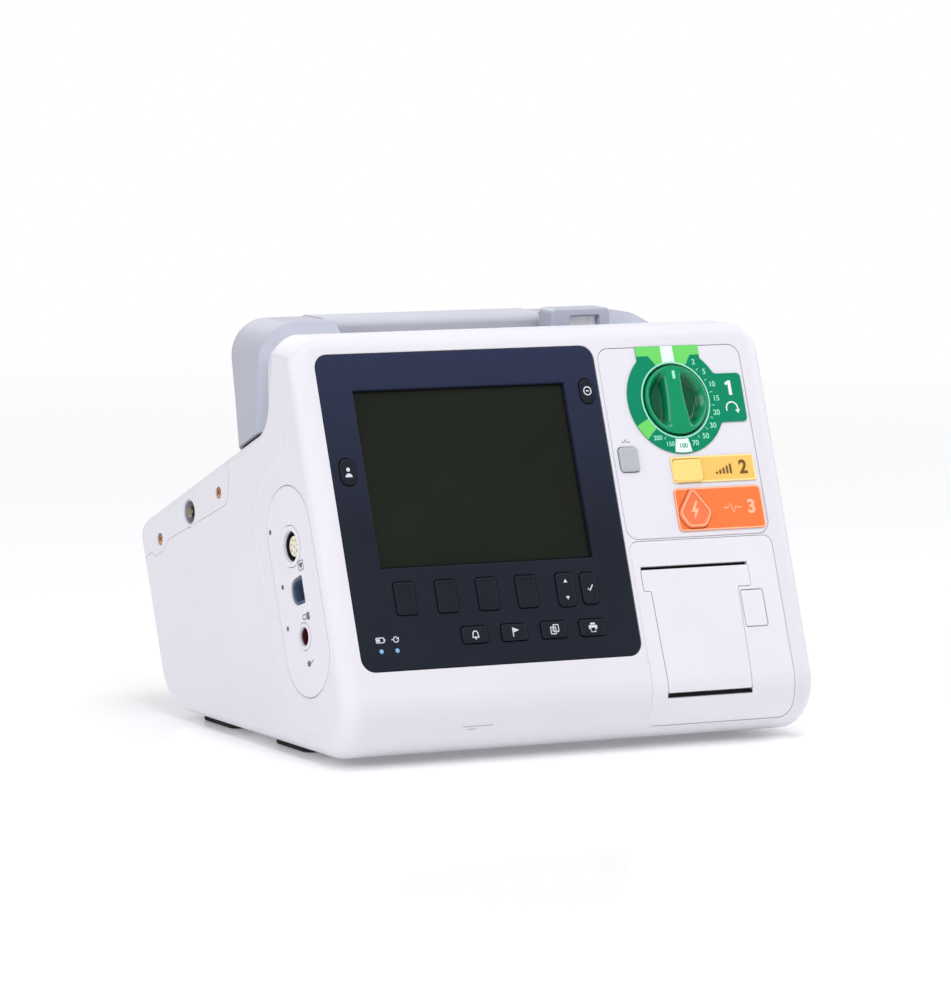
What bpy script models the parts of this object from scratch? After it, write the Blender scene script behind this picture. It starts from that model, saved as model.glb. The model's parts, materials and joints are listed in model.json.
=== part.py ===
"""Portable monitor defibrillator, modelled as an assembly of separate pieces.

Frame: +Z up, +Y towards the back, the operator faces the front from -Y.
The origin lies under the middle of the unit, on the surface it stands on.
All lengths are metres. Places on the front are given as (u, v, depth): u across,
v up the leaning face from the floor line, depth behind the face.
"""

import math

import bmesh
import bpy
from mathutils import Matrix, Vector

# Driving dimensions
WIDTH = 0.340
FACE_TILT = math.radians(21.0)
BODY_DEPTH = 0.247            # between the face plane and the back plane, which are parallel
BASE_Z = 0.004                # the feet lift the case by this much
TOP_Z = 0.258
TALL_BACK_Y = 0.132           # back of the tall front part, from the face's floor line
SLOPE_START = (0.160, 0.1885)  # a point of the sloping top (y, z)
SLOPE_ANGLE = math.radians(24.7)
WALL = 0.003
PARTING_DEPTH = 0.080         # the front case ends this far behind the face
GAP = 0.0003
KEY_GAP = 0.0005
ROCKER_ROOM = 0.0013          # extra depth behind the rocker key's flange
ROCKER_PIVOT = 0.0030
BIG = 0.30

# Front panels: (u low, u high, v low, v high, corner radius)
BEZEL = (-0.155, 0.0439, 0.0645, 0.2656, 0.009)
THERAPY = (0.0469, 0.1520, 0.1385, 0.2630, 0.008)
PRINTER = (0.0469, 0.1520, 0.0220, 0.1370, 0.006)
SCREEN = (-0.1314, 0.0197, 0.1289, 0.2424, 0.0008)
PLATE = 0.003                 # thickness of the face panels
PANEL_SINK = 0.0003

KNOB_CENTRE = (0.0986, 0.2277)
KNOB_RADIUS = 0.0226
KNOB_WELL = (0.0238, 0.0095)  # radius and depth of the round well the knob sits in
WELL_WALL = 0.0018
KNOB_RIDGE = 0.0048           # half the width of the knob's grip ridge
LABEL_RADIUS = 0.0353

PORT_CENTRE = (0.0830, 0.1034)  # centre of the left port panel (y, z)
PORT_PITCH = 0.0286
THERAPY_PORT = (0.158, 0.092)   # right side (y, z)
SCREWS = ((0.1923, 0.1522), (0.2739, 0.1128))  # on each side (y, z)
STUD = (0.2329, 0.1352)

HOOD_HALF = 0.166
HOOD_TOP = 0.263
HOOD_FRONT = 0.1346
HAND_GAP = (-0.112, 0.044)    # the hand hole's ends in x
HAND_FLOOR = 0.206

BAY = (0.118, 0.052, 0.105)   # battery bay: width, height, depth
BAY_V = 0.164
BAY_X = 0.082
BAY_WALL = 0.0025
BAY_PLAY = 0.0012             # the packs are this much smaller than their bays

KEY_FLANGE = 0.0012           # how far, and how thick, a key's flange stands out behind the panel
LIGHTS = ((-0.1401, 0.0771), (-0.1290, 0.0771))  # status lights (u, v)
INDICATOR = (0.062, 0.2550, 0.022, 0.016)        # ready indicator: x, z, width, height
INDICATOR_FLOOR = 0.1395      # back of its pocket (y from the face's floor line)
FOOT_X = 0.148
FOOT_YS = (0.115, 0.215)      # from the face's floor line
CUTTER_END = 0.02             # how far a cutter passes a surface


# ---------------------------------------------------------------- outlines

def arc_between(before, corner, after, radius, steps):
    """The rounded corner's points, from one tangent point to the other."""
    here = Vector(corner)
    towards_before = (Vector(before) - here).normalized()
    towards_after = (Vector(after) - here).normalized()
    half = towards_before.angle(towards_after) / 2
    centre = here + (towards_before + towards_after).normalized() * radius / math.sin(half)
    start = here + towards_before * radius / math.tan(half) - centre
    turn = start.angle_signed(here + towards_after * radius / math.tan(half) - centre)
    return [
        centre + Matrix.Rotation(-turn * i / steps, 2) @ start
        for i in range(steps + 1)
    ]


def rounded(corners):
    """A closed outline from (x, y, radius, steps) corners; radius 0 keeps a corner sharp."""
    points = []
    for i, (x, y, radius, steps) in enumerate(corners):
        if radius == 0:
            points.append(Vector((x, y)))
            continue
        before = corners[i - 1][:2]
        after = corners[(i + 1) % len(corners)][:2]
        points.extend(arc_between(before, (x, y), after, radius, steps))
    return points


def rectangle(width, height, radius=0.0, steps=3, centre=(0.0, 0.0)):
    x, y = width / 2, height / 2
    corners = [(-x, -y), (x, -y), (x, y), (-x, y)]
    return rounded([(cx + centre[0], cy + centre[1], radius, steps) for cx, cy in corners])


def panel(place, grow=0.0):
    """Outline of a face panel given as (u low, u high, v low, v high, radius)."""
    left, right, low, high, radius = place
    centre = ((left + right) / 2, (low + high) / 2)
    width = right - left + 2 * grow
    height = high - low + 2 * grow
    return rectangle(width, height, radius + grow, 4, centre)


def circle(radius, sides=32, centre=(0.0, 0.0)):
    return [
        Vector((
            centre[0] + radius * math.cos(2 * math.pi * i / sides),
            centre[1] + radius * math.sin(2 * math.pi * i / sides),
        ))
        for i in range(sides)
    ]


def offset(outline, amounts):
    """Moves each point of an outline outwards by its amount, or by one number."""
    count = len(outline)
    if isinstance(amounts, (int, float)):
        amounts = [amounts] * count
    moved = []
    for i, point in enumerate(outline):
        along_in = (point - outline[i - 1]).normalized()
        along_out = (outline[(i + 1) % count] - point).normalized()
        normal_in = Vector((along_in.y, -along_in.x))
        normal_out = Vector((along_out.y, -along_out.x))
        shift = (normal_in + normal_out) / (1 + normal_in.dot(normal_out))
        moved.append(point + shift * amounts[i])
    return moved


# ---------------------------------------------------------------- frames

def axes(x_axis, y_axis, z_axis, origin):
    matrix = Matrix((x_axis, y_axis, z_axis)).transposed().to_4x4()
    matrix.translation = origin
    return matrix


SIN, COS = math.sin(FACE_TILT), math.cos(FACE_TILT)
UP_FACE = Vector((0, SIN, COS))
OUTWARD = Vector((0, -COS, SIN))


def slope_z(y):
    """Height of the sloping top at y, which is counted from the face's floor line."""
    return SLOPE_START[1] - math.tan(SLOPE_ANGLE) * (y - SLOPE_START[0])


def body_corners():
    """Side outline of the case as (y, z, radius, steps, edge radius) corners."""
    back_foot = (BODY_DEPTH + BASE_Z * SIN) / COS
    back_rise = SIN / COS
    slope = math.tan(SLOPE_ANGLE)
    y0, z0 = SLOPE_START
    back_top = (z0 + slope * y0 - slope * BODY_DEPTH / COS) / (1 + slope * back_rise)
    return [
        (BASE_Z * back_rise, BASE_Z, 0.031, 8, 0.013),
        (back_foot, BASE_Z, 0.036, 6, 0.010),
        (BODY_DEPTH / COS + back_top * back_rise, back_top, 0.014, 5, 0.009),
        (TALL_BACK_Y, slope_z(TALL_BACK_Y), 0.022, 5, 0.009),
        (TALL_BACK_Y + 0.002, TOP_Z, 0.010, 4, 0.0085),
        (TOP_Z * back_rise, TOP_Z, 0.011, 4, 0.0095),
    ]


def body_outline():
    corners = body_corners()
    outline = rounded([corner[:4] for corner in corners])
    edge_radii = []
    for corner in corners:
        edge_radii.extend([corner[4]] * (corner[3] + 1))
    return outline, edge_radii


BODY_OUTLINE, EDGE_RADII = body_outline()
# The face's floor line is placed so that the case is centred on the origin.
FACE_FOOT = -(min(p.x for p in BODY_OUTLINE) + max(p.x for p in BODY_OUTLINE)) / 2

FACE = axes((1, 0, 0), UP_FACE, OUTWARD, (0, FACE_FOOT, 0))
SIDE = axes((0, 1, 0), (0, 0, 1), (1, 0, 0), (0, FACE_FOOT, 0))
ACROSS = axes((1, 0, 0), (0, 0, 1), (0, -1, 0), (0, FACE_FOOT, 0))
LEFT_OUT = axes(OUTWARD, UP_FACE, (-1, 0, 0), (-WIDTH / 2, FACE_FOOT, 0))
RIGHT_OUT = axes(-OUTWARD, UP_FACE, (1, 0, 0), (WIDTH / 2, FACE_FOOT, 0))
BACK_OUT = axes((-1, 0, 0), UP_FACE, -OUTWARD, Vector((0, FACE_FOOT, 0)) - OUTWARD * BODY_DEPTH)


def on_face(u, v, depth=0.0):
    return FACE @ Matrix.Translation((u, v, -depth))


def on_side(frame, y, z, depth=0.0):
    """A place on a side wall, with its local y up the lean of the face."""
    along = Vector((0, y, z))
    x_local = along.dot(frame.col[0].to_3d())
    y_local = along.dot(frame.col[1].to_3d())
    return frame @ Matrix.Translation((x_local, y_local, -depth))


def on_back(x, v, depth=0.0):
    return BACK_OUT @ Matrix.Translation((-x, v, -depth))


# ---------------------------------------------------------------- objects

MATERIALS = {}


def material(name, colour, roughness, metallic=0.0):
    """One Principled material for each finish."""
    if name not in MATERIALS:
        made = bpy.data.materials.new(name)
        made.use_nodes = True
        shader = made.node_tree.nodes["Principled BSDF"]
        shader.inputs["Base Color"].default_value = (*colour, 1.0)
        shader.inputs["Roughness"].default_value = roughness
        shader.inputs["Metallic"].default_value = metallic
        MATERIALS[name] = made
    return MATERIALS[name]


WHITE = ("white_plastic", (0.83, 0.83, 0.86), 0.42)
GREY = ("grey_plastic", (0.50, 0.51, 0.57), 0.5)
NAVY = ("navy_plastic", (0.020, 0.026, 0.050), 0.35)
NAVY_KEY = ("navy_key", (0.017, 0.022, 0.042), 0.5)
BLACK = ("black_plastic", (0.02, 0.02, 0.022), 0.55)
SCREEN_GLASS = ("screen_glass", (0.012, 0.013, 0.011), 0.12)
GREEN = ("green_knob", (0.0, 0.16, 0.07), 0.25)
GREEN_PRINT = ("green_label", (0.0, 0.23, 0.10), 0.4)
YELLOW = ("yellow_label", (0.95, 0.68, 0.18), 0.4)
YELLOW_KEY = ("yellow_key", (0.95, 0.60, 0.10), 0.35)
ORANGE = ("orange_label", (0.90, 0.17, 0.03), 0.4)
ORANGE_KEY = ("orange_key", (0.95, 0.24, 0.07), 0.35)
SYNC_GREY = ("sync_grey", (0.45, 0.46, 0.48), 0.45)
METAL = ("plated_steel", (0.62, 0.60, 0.56), 0.3, 1.0)
BRASS = ("brass_screw", (0.70, 0.50, 0.28), 0.35, 1.0)
RUBBER = ("rubber", (0.03, 0.03, 0.03), 0.8)
BOARD = ("circuit_board", (0.02, 0.16, 0.07), 0.5)
PAPER = ("paper", (0.85, 0.84, 0.80), 0.85)
BLUE = ("blue_socket", (0.16, 0.20, 0.30), 0.4)
LENS = ("clear_lens", (0.75, 0.78, 0.80), 0.15)


def stack(name, outline, stations, finish, matrix=None):
    """A closed solid: the outline at each (z, outward offset) station, skinned and capped."""
    shape = bmesh.new()
    rings = []
    for z, grow in stations:
        ring = [shape.verts.new((p.x, p.y, z)) for p in offset(outline, grow)]
        rings.append(ring)
    count = len(outline)
    for lower, upper in zip(rings, rings[1:]):
        for i in range(count):
            following = (i + 1) % count
            shape.faces.new((lower[i], lower[following], upper[following], upper[i]))
    shape.faces.new(list(reversed(rings[0])))
    shape.faces.new(rings[-1])
    bmesh.ops.recalc_face_normals(shape, faces=shape.faces)
    mesh = bpy.data.meshes.new(name)
    shape.to_mesh(mesh)
    shape.free()
    mesh.shade_smooth()
    mesh.set_sharp_from_angle(angle=math.radians(32))
    made = bpy.data.objects.new(name, mesh)
    bpy.context.collection.objects.link(made)
    made.data.materials.append(material(*finish))
    if matrix is not None:
        made.matrix_world = matrix
    return made


def prism(name, outline, low, high, finish, matrix=None):
    return stack(name, outline, [(low, 0.0), (high, 0.0)], finish, matrix)


def combine(target, tool, operation):
    """A Boolean with a hidden tool object, kept as a modifier."""
    tool.hide_render = True
    tool.display_type = "WIRE"
    modifier = target.modifiers.new(f"{operation.lower()}_{tool.name}", "BOOLEAN")
    modifier.operation = operation
    modifier.solver = "EXACT"
    modifier.object = tool
    return target


def cut(target, *tools):
    for tool in tools:
        combine(target, tool, "DIFFERENCE")
    return target


def join(target, *tools):
    for tool in tools:
        combine(target, tool, "UNION")
    return target


def keep(target, *tools):
    for tool in tools:
        combine(target, tool, "INTERSECT")
    return target


# ---------------------------------------------------------------- case shells

def edge_stations(half, radii, steps=3):
    """Stations across the width, with the long edges rounded by each point's radius."""
    near = []
    for i in range(steps + 1):
        angle = math.pi / 2 * i / steps
        grow = [-r * (1 - math.sin(angle)) for r in radii]
        z = -half + max(radii) * (1 - math.cos(angle))
        near.append((z, grow))
    return near + [(-z, grow) for z, grow in reversed(near)]


def body_solid(name, inset):
    """The whole case's outer form, or with an inset the form of its inside."""
    outline = offset(BODY_OUTLINE, -inset)
    radii = [r - inset for r in EDGE_RADII]
    half = WIDTH / 2 - inset
    made = stack(name, outline, edge_stations(half, radii), WHITE, SIDE)
    corner = 0.020 - inset
    top = TOP_Z - inset
    limits = rounded([
        (-half - 0.01, -0.01, 0.0, 0),
        (half + 0.01, -0.01, 0.0, 0),
        (half + 0.01, top - 0.06, 0.0, 0),
        (half, top - 0.05, 0.0, 0),
        (half, top, corner, 5),
        (-half, top, corner, 5),
        (-half, top - 0.05, 0.0, 0),
        (-half - 0.01, top - 0.06, 0.0, 0),
    ])
    return keep(made, prism(f"{name}_corners", limits, -0.35, 0.05, WHITE, ACROSS))


def case_shell(name):
    """A 3 mm shell of the whole case, still to be cut to its own region."""
    shell = body_solid(name, 0.0)
    return cut(shell, body_solid(f"{name}_inside", WALL))


def at_depth(depth, z):
    """The (y, z) point of the plane at this depth behind the face."""
    return ((depth + z * SIN) / COS, z)


def seam_path():
    """The top cover's lower edge on the sides, from the slope round to the back."""
    (y_a, z_a), (y_b, z_b) = SCREWS
    fall = (z_b - z_a) / (y_b - y_a)

    def line(y, below):
        return z_a + fall * (y - y_a) - below

    return [
        (y_a - 0.0095, slope_z(y_a) + 0.05, 0.0, 0),
        (y_a - 0.0095, slope_z(y_a - 0.0095) - 0.006, 0.006, 2),
        (y_a - 0.0142, z_a + 0.014, 0.006, 2),
        (y_a - 0.0142, line(y_a - 0.0142, 0.012), 0.010, 4),
        (y_b - 0.012, line(y_b - 0.012, 0.0048), 0.004, 2),
        (y_b - 0.006, line(y_b - 0.006, 0.0090), 0.006, 3),
        (y_b + 0.006, line(y_b + 0.006, 0.0090), 0.006, 3),
        (y_b + 0.011, line(y_b + 0.011, 0.0048), 0.004, 2),
        (y_b + 0.060, line(y_b + 0.060, 0.0048), 0.0, 0),
    ]


def region(name, corners, grow=0.0):
    """A slab across the whole width with the given (y, z) outline."""
    outline = offset(rounded(corners), grow)
    return prism(name, outline, -0.2, 0.2, WHITE, SIDE)


def top_region(name, grow):
    corners = seam_path() + [(SCREWS[1][0] + 0.060, BIG, 0.0, 0)]
    return region(name, corners, grow)


def front_region(name, depth):
    low = at_depth(depth, -0.02)
    high = at_depth(depth, BIG)
    return region(name, [(-0.1, -0.02, 0, 0), (*low, 0, 0), (*high, 0, 0), (-0.1, BIG, 0, 0)])


def boss(name, frame, place, radius, low, high):
    """A round pad on the inside of a side wall."""
    return prism(name, circle(radius, 14), low, high, WHITE, on_side(frame, *place))


def front_case():
    case = keep(case_shell("front_case"), front_region("front_part", PARTING_DEPTH))
    for name, place in (("bezel", BEZEL), ("therapy", THERAPY), ("printer", PRINTER)):
        opening = prism(f"{name}_opening", panel(place, GAP), -0.020, 0.02, WHITE, FACE)
        cut(case, opening)
    port = prism("port_opening", stadium(GAP), -0.01, 0.01, WHITE, on_side(LEFT_OUT, *PORT_CENTRE))
    return cut(case, port)


def bay(name, x, grow, length):
    """A box in the back, in line with the battery's way out."""
    width, height, _ = BAY
    outline = rectangle(width + 2 * grow, height + 2 * grow, 0.004 + grow, 2)
    return prism(name, outline, -length, 0.0, WHITE, on_back(x, BAY_V))


def rear_case():
    case = keep(case_shell("rear_case"), rear_half("rear_part"))
    cut(case, top_region("rear_top_cut", GAP))
    for side, x in (("left", -BAY_X), ("right", BAY_X)):
        join(case, bay(f"{side}_bay_outer", x, BAY_WALL, BAY[2] + BAY_WALL))
    for side, x in (("left", -BAY_X), ("right", BAY_X)):
        inside = bay(f"{side}_bay_inner", x, 0.0, BAY[2])
        mouth = bay(f"{side}_bay_mouth", x, 0.0, CUTTER_END)
        mouth.matrix_world = on_back(x, BAY_V, -0.015)
        cut(case, inside, mouth)
    socket = prism("socket_hole", circle(0.0235, 28), -0.01, 0.01, WHITE,
                   on_side(RIGHT_OUT, *THERAPY_PORT))
    cut(case, socket)
    for side, frame in (("left", LEFT_OUT), ("right", RIGHT_OUT)):
        cut(case, boss(f"{side}_stud_clearance", frame, STUD, 0.0103, -0.0200, 0.01))
    for index, (x, y) in enumerate(foot_places()):
        stem = circle(0.0029, 12)
        cut(case, prism(f"foot_hole_{index}", stem, -0.002, 0.012, WHITE,
                        Matrix.Translation((x, y, 0))))
    return case


def rear_half(name):
    low = at_depth(PARTING_DEPTH + GAP, -0.02)
    high = at_depth(PARTING_DEPTH + GAP, BIG)
    return region(name, [(*low, 0, 0), (0.45, -0.02, 0, 0), (0.45, BIG, 0, 0), (*high, 0, 0)])


def top_cover():
    cover = keep(case_shell("top_cover"), top_region("top_part", 0.0))
    for side, frame in (("left", LEFT_OUT), ("right", RIGHT_OUT)):
        for index, place in enumerate(SCREWS):
            join(cover, boss(f"{side}_screw_pad_{index}", frame, place, 0.0062, -0.0080, -0.0020))
        join(cover, boss(f"{side}_stud_pad", frame, STUD, 0.0100, -0.0125, -0.0002))
        for index, place in enumerate(SCREWS):
            cut(cover, boss(f"{side}_screw_head_{index}", frame, place, 0.0039, -0.0024, 0.01))
            cut(cover, boss(f"{side}_screw_way_{index}", frame, place, 0.0019, -0.0200, 0.0))
        cut(cover, boss(f"{side}_stud_pocket", frame, STUD, 0.0078, -0.0090, 0.01))
        cut(cover, boss(f"{side}_stud_way", frame, STUD, 0.0019, -0.0200, 0.0))
    return cover


# ---------------------------------------------------------------- handle

def hood_solid(name, inset):
    """The grey hood behind the tall front part, before its hand hole is cut."""
    top = HOOD_TOP - inset
    half = HOOD_HALF - inset
    across = rounded([
        (-half, 0.13, 0.0, 0),
        (half, 0.13, 0.0, 0),
        (half, 0.231 - inset, 0.022, 4),
        (0.104, top, 0.022, 3),
        (-half, top, 0.026 - inset, 6),
    ])
    front = HOOD_FRONT + inset
    back = 0.215 - inset
    stations = [
        (-back, 0.0),
        (-front - 0.014, 0.0),
        (-front - 0.008, -0.003),
        (-front, -0.011),
    ]
    made = stack(name, across, stations, GREY, ACROSS)
    low = 0.0004 if inset == 0 else -0.03
    back_low = 0.187 - inset
    back_high = 0.205 - inset
    side = rounded([
        (back_low, slope_z(back_low) + low, 0.0, 0),
        (back_high, top, 0.026, 5),
        (HOOD_FRONT + inset, top, 0.0, 0),
        (HOOD_FRONT + inset, 0.221 + low, 0.0, 0),
        (0.1495, slope_z(0.1495) + low, 0.0, 0),
    ])
    return keep(made, prism(f"{name}_side", side, -0.2, 0.2, GREY, SIDE))


def handle_hood():
    hood = hood_solid("handle_hood", 0.0)
    left, right = HAND_GAP
    middle = (left + right) / 2
    length = right - left
    inside = hood_solid("hood_inside", WALL)
    tub = rectangle(length + 2 * WALL, 0.1, 0.0, 0, (middle, HAND_FLOOR - WALL + 0.05))
    cut(inside, prism("hood_tub", tub, -0.30, -0.10, GREY, ACROSS))
    cut(hood, inside)
    hand = rectangle(length, 0.1, 0.008, 3, (middle, HAND_FLOOR + 0.05))
    cut(hood, prism("hand_hole", hand, -0.30, -0.10, GREY, ACROSS))
    block = rectangle(0.043, 0.0405, 0.003, 2, (0.059, 0.24725))
    join(hood, prism("indicator_block", block, -0.152, -HOOD_FRONT, GREY, ACROSS))
    x, z, width, height = INDICATOR
    pocket = rectangle(width, height, 0.001, 1, (x, z))
    return cut(hood, prism("indicator_pocket", pocket, -INDICATOR_FLOOR, -0.12, GREY, ACROSS))


def ready_indicator():
    x, z, width, height = INDICATOR
    window = rectangle(width - 0.0008, height - 0.0008, 0.0008, 1, (x, z))
    back = 0.0004 - INDICATOR_FLOOR
    stations = [(back, 0), (back + 0.0015, 0), (back + 0.0019, -0.0004)]
    return stack("ready_indicator", window, stations, LENS, ACROSS)


def handle_grip():
    """The bar the hand closes round, between the cheeks of the hood."""
    section = rounded([
        (0.160, 0.239, 0.009, 4),
        (0.196, 0.239, 0.009, 4),
        (0.199, 0.2635, 0.010, 4),
        (0.160, 0.2635, 0.006, 4),
    ])
    left, right = HAND_GAP
    return prism("handle_grip", section, left + GAP, right - GAP, GREY, SIDE)


# ---------------------------------------------------------------- left and right ports

def stadium(grow=0.0):
    """The long round-ended outline of the left port panel."""
    return rectangle(0.057 + 2 * grow, 0.133 + 2 * grow, 0.0284 + grow, 8)


PORTS = {"ecg": PORT_PITCH, "spo2": 0.0, "nibp": -PORT_PITCH}


def port_panel_left():
    place = on_side(LEFT_OUT, *PORT_CENTRE)
    made = stack("port_panel_left", stadium(), [(-0.0045, 0), (-0.0002, 0), (0.0, -0.0004)],
                 WHITE, place)
    holes = {
        "ecg": circle(0.0133, 28, (0, PORTS["ecg"])),
        "spo2": d_outline(0.0003),
        "nibp": circle(0.0088, 24, (0, PORTS["nibp"])),
    }
    for name, outline in holes.items():
        cut(made, prism(f"{name}_hole", outline, -0.01, 0.01, WHITE, place))
    return made


def d_outline(grow=0.0):
    """D-shaped socket outline, flat towards the front."""
    return offset(rounded([
        (-0.0080, -0.0078, 0.0070, 4),
        (0.0080, -0.0086, 0.0012, 1),
        (0.0080, 0.0086, 0.0012, 1),
        (-0.0080, 0.0078, 0.0070, 4),
    ]), grow)


def ecg_socket():
    place = on_side(LEFT_OUT, *PORT_CENTRE) @ Matrix.Translation((0, PORTS["ecg"], 0))
    cup = [(-0.020, -0.0010), (-0.0050, -0.0010), (-0.0050, 0.0), (-0.0020, 0.0),
           (-0.0006, -0.0004), (-0.0006, -0.0032), (-0.016, -0.0032)]
    made = stack("ecg_socket", circle(0.0130, 28), cup, WHITE, place)
    pins = []
    for i in range(6):
        angle = 2 * math.pi * i / 6
        spot = (0.0055 * math.cos(angle), 0.0055 * math.sin(angle))
        pins.append(prism(f"ecg_pin_{i}", circle(0.0009, 8, spot), -0.0165, -0.004, METAL, place))
    return join(made, *pins)


def spo2_socket():
    place = on_side(LEFT_OUT, *PORT_CENTRE)
    cup = [(-0.018, -0.0005), (-0.0006, -0.0005), (-0.0006, -0.0017), (-0.014, -0.0017)]
    return stack("spo2_socket", d_outline(), cup, BLUE, place)


def nibp_fitting():
    place = on_side(LEFT_OUT, *PORT_CENTRE) @ Matrix.Translation((0, PORTS["nibp"], 0))
    cup = [(-0.024, -0.0025), (-0.010, -0.0025), (-0.010, -0.0002), (-0.0014, -0.0002),
           (-0.0004, -0.0008), (-0.0004, -0.0029), (-0.020, -0.0029)]
    return stack("nibp_fitting", circle(0.0087, 24), cup, METAL, place)


def therapy_socket():
    """The port that the pads or paddles cable plugs into, on the right side."""
    place = on_side(RIGHT_OUT, *THERAPY_PORT)
    cup = [(-0.036, -0.0010), (-0.0035, -0.0010), (-0.0035, 0.0), (-0.0012, 0.0),
           (-0.0004, -0.0008), (-0.0004, -0.0062), (-0.030, -0.0062)]
    made = stack("therapy_socket", circle(0.0232, 28), cup, BLACK, place)
    posts = []
    for i, x in enumerate((-0.0075, 0.0075)):
        post = circle(0.0022, 10, (x, 0))
        posts.append(prism(f"therapy_post_{i}", post, -0.0305, -0.008, METAL, place))
    return join(made, *posts)


# ---------------------------------------------------------------- display side of the face

SOFT_KEYS = (-0.118, -0.089, -0.060, -0.032)
FUNCTION_KEYS = {"alarm_key": -0.0737, "event_key": -0.0456, "report_key": -0.0172,
                 "print_key": 0.0104}


def key_table():
    """name: (u, v, width, height, radius, proud, finish) for each key behind the bezel."""
    keys = {}
    for i, u in enumerate(SOFT_KEYS):
        keys[f"soft_key_{i + 1}"] = (u, 0.1093, 0.014, 0.0205, 0.0016, 0.0006, NAVY_KEY)
    keys["nav_key"] = (-0.004, 0.1090, 0.0125, 0.0215, 0.0030, 0.0008, NAVY_KEY)
    keys["select_key"] = (0.013, 0.1090, 0.0115, 0.0200, 0.0030, 0.0008, NAVY_KEY)
    for name, u in FUNCTION_KEYS.items():
        keys[name] = (u, 0.0840, 0.0180, 0.0105, 0.0016, 0.0008, NAVY_KEY)
    keys["patient_key"] = (-0.1439, 0.1907, 0.0105, 0.0170, 0.0050, 0.0006, NAVY_KEY)
    keys["lead_key"] = (0.0349, 0.2359, 0.0100, 0.0160, 0.0048, 0.0006, NAVY_KEY)
    return keys


KEYS = key_table()


def key_outline(width, height, radius, grow=0.0):
    return rectangle(width + 2 * grow, height + 2 * grow, radius + grow, 2)


def key(name, u, v, width, height, radius, proud, finish):
    """A key cap with a flange behind the panel that keeps it in."""
    back = PANEL_SINK + PLATE + GAP
    place = on_face(u, v)
    lift = 0.0
    if name == "nav_key":
        # The rocker turns about its own middle, so its flange stands further back.
        back += ROCKER_ROOM
        place = on_face(u, v, ROCKER_PIVOT)
        lift = ROCKER_PIVOT
    stations = [
        (lift - back - KEY_FLANGE, KEY_FLANGE),
        (lift - back, KEY_FLANGE),
        (lift - back, 0.0),
        (lift + proud - 0.0004, 0.0),
        (lift + proud, -0.0004),
    ]
    return stack(name, key_outline(width, height, radius), stations, finish, place)


def display_bezel():
    front = -PANEL_SINK
    stations = [(front - PLATE, 0), (front - 0.0004, 0), (front, -0.0004)]
    made = stack("display_bezel", panel(BEZEL), stations, NAVY, FACE)
    cut(made, prism("screen_opening", panel(SCREEN), -CUTTER_END, CUTTER_END, NAVY, FACE))
    for name, (u, v, width, height, radius, _, _) in KEYS.items():
        hole = key_outline(width, height, radius, KEY_GAP)
        cut(made, prism(f"{name}_hole", hole, -CUTTER_END, CUTTER_END, NAVY, on_face(u, v)))
    for index, place in enumerate(LIGHTS):
        cut(made, prism(f"light_hole_{index}", circle(0.0017, 12), -CUTTER_END, CUTTER_END, NAVY,
                        on_face(*place)))
    return made


def status_lights():
    """One light pipe with two round ends that show in the bezel."""
    middle = (LIGHTS[0][0] + LIGHTS[1][0]) / 2
    base = prism("status_lights", rectangle(0.020, 0.006, 0.001, 1), -0.0055, -0.0036, LENS,
                 on_face(middle, LIGHTS[0][1]))
    for index, place in enumerate(LIGHTS):
        join(base, prism(f"light_end_{index}", circle(0.0014, 12), -0.0040, -0.0004, LENS,
                         on_face(*place)))
    return base


def lcd_window():
    return prism("lcd_window", panel(SCREEN, 0.004), -0.0051, -0.0036, SCREEN_GLASS, FACE)


def lcd_module():
    return prism("lcd_module", panel(SCREEN, 0.0055), -0.0140, -0.0054, METAL, FACE)


def key_board():
    board = rectangle(0.182, 0.0500, 0.002, 1, (-0.056, 0.0950))
    return prism("key_board", board, -0.0085, -0.0069, BOARD, FACE)


# ---------------------------------------------------------------- therapy side of the face

CONTROLS = {
    "sync_button": (0.05725, 0.1903),
    "charge_button": (0.0987, 0.1812),
    "shock_button": (0.0986, 0.1552),
}


def control_outline(name, grow=0.0):
    if name == "sync_button":
        return rectangle(0.0135 + 2 * grow, 0.0158 + 2 * grow, 0.0014 + grow, 2)
    if name == "charge_button":
        return rectangle(0.0206 + 2 * grow, 0.0147 + 2 * grow, 0.0014 + grow, 2)
    drop = rounded([
        (0.0, 0.0158, 0.0040, 3),
        (-0.0136, 0.0020, 0.0070, 3),
        (-0.0115, -0.0114, 0.0050, 3),
        (0.0115, -0.0114, 0.0050, 3),
        (0.0136, 0.0020, 0.0070, 3),
    ])
    return offset(drop, grow)


def control(name, finish, proud):
    back = PANEL_SINK + PLATE + GAP
    stations = [
        (-back - KEY_FLANGE, KEY_FLANGE),
        (-back, KEY_FLANGE),
        (-back, 0.0),
        (proud - 0.0008, 0.0),
        (proud - 0.0002, -0.0004),
        (proud, -0.0010),
    ]
    return stack(name, control_outline(name), stations, finish, on_face(*CONTROLS[name]))


def control_hole(name, tag):
    outline = control_outline(name, KEY_GAP)
    return prism(f"{name}_{tag}", outline, -CUTTER_END, CUTTER_END, WHITE,
                 on_face(*CONTROLS[name]))


def therapy_panel():
    front = -PANEL_SINK
    stations = [(front - PLATE, 0), (front - 0.0003, 0), (front, -0.0003)]
    made = stack("therapy_panel", panel(THERAPY), stations, WHITE, FACE)
    for name in CONTROLS:
        cut(made, control_hole(name, "way"))
    radius, depth = KNOB_WELL
    place = on_face(*KNOB_CENTRE)
    tub = circle(radius + WELL_WALL, 48)
    join(made, prism("knob_tub", tub, -depth - WELL_WALL, -0.0020, WHITE, place))
    cut(made, prism("knob_well", circle(radius, 48), -depth, CUTTER_END, WHITE, place))
    return cut(made, prism("shaft_way", circle(0.0045, 20), -CUTTER_END, 0.0, WHITE, place))


def label(name, outline, finish, matrix):
    return prism(name, outline, 0.0, 0.0004, finish, matrix)


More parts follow.
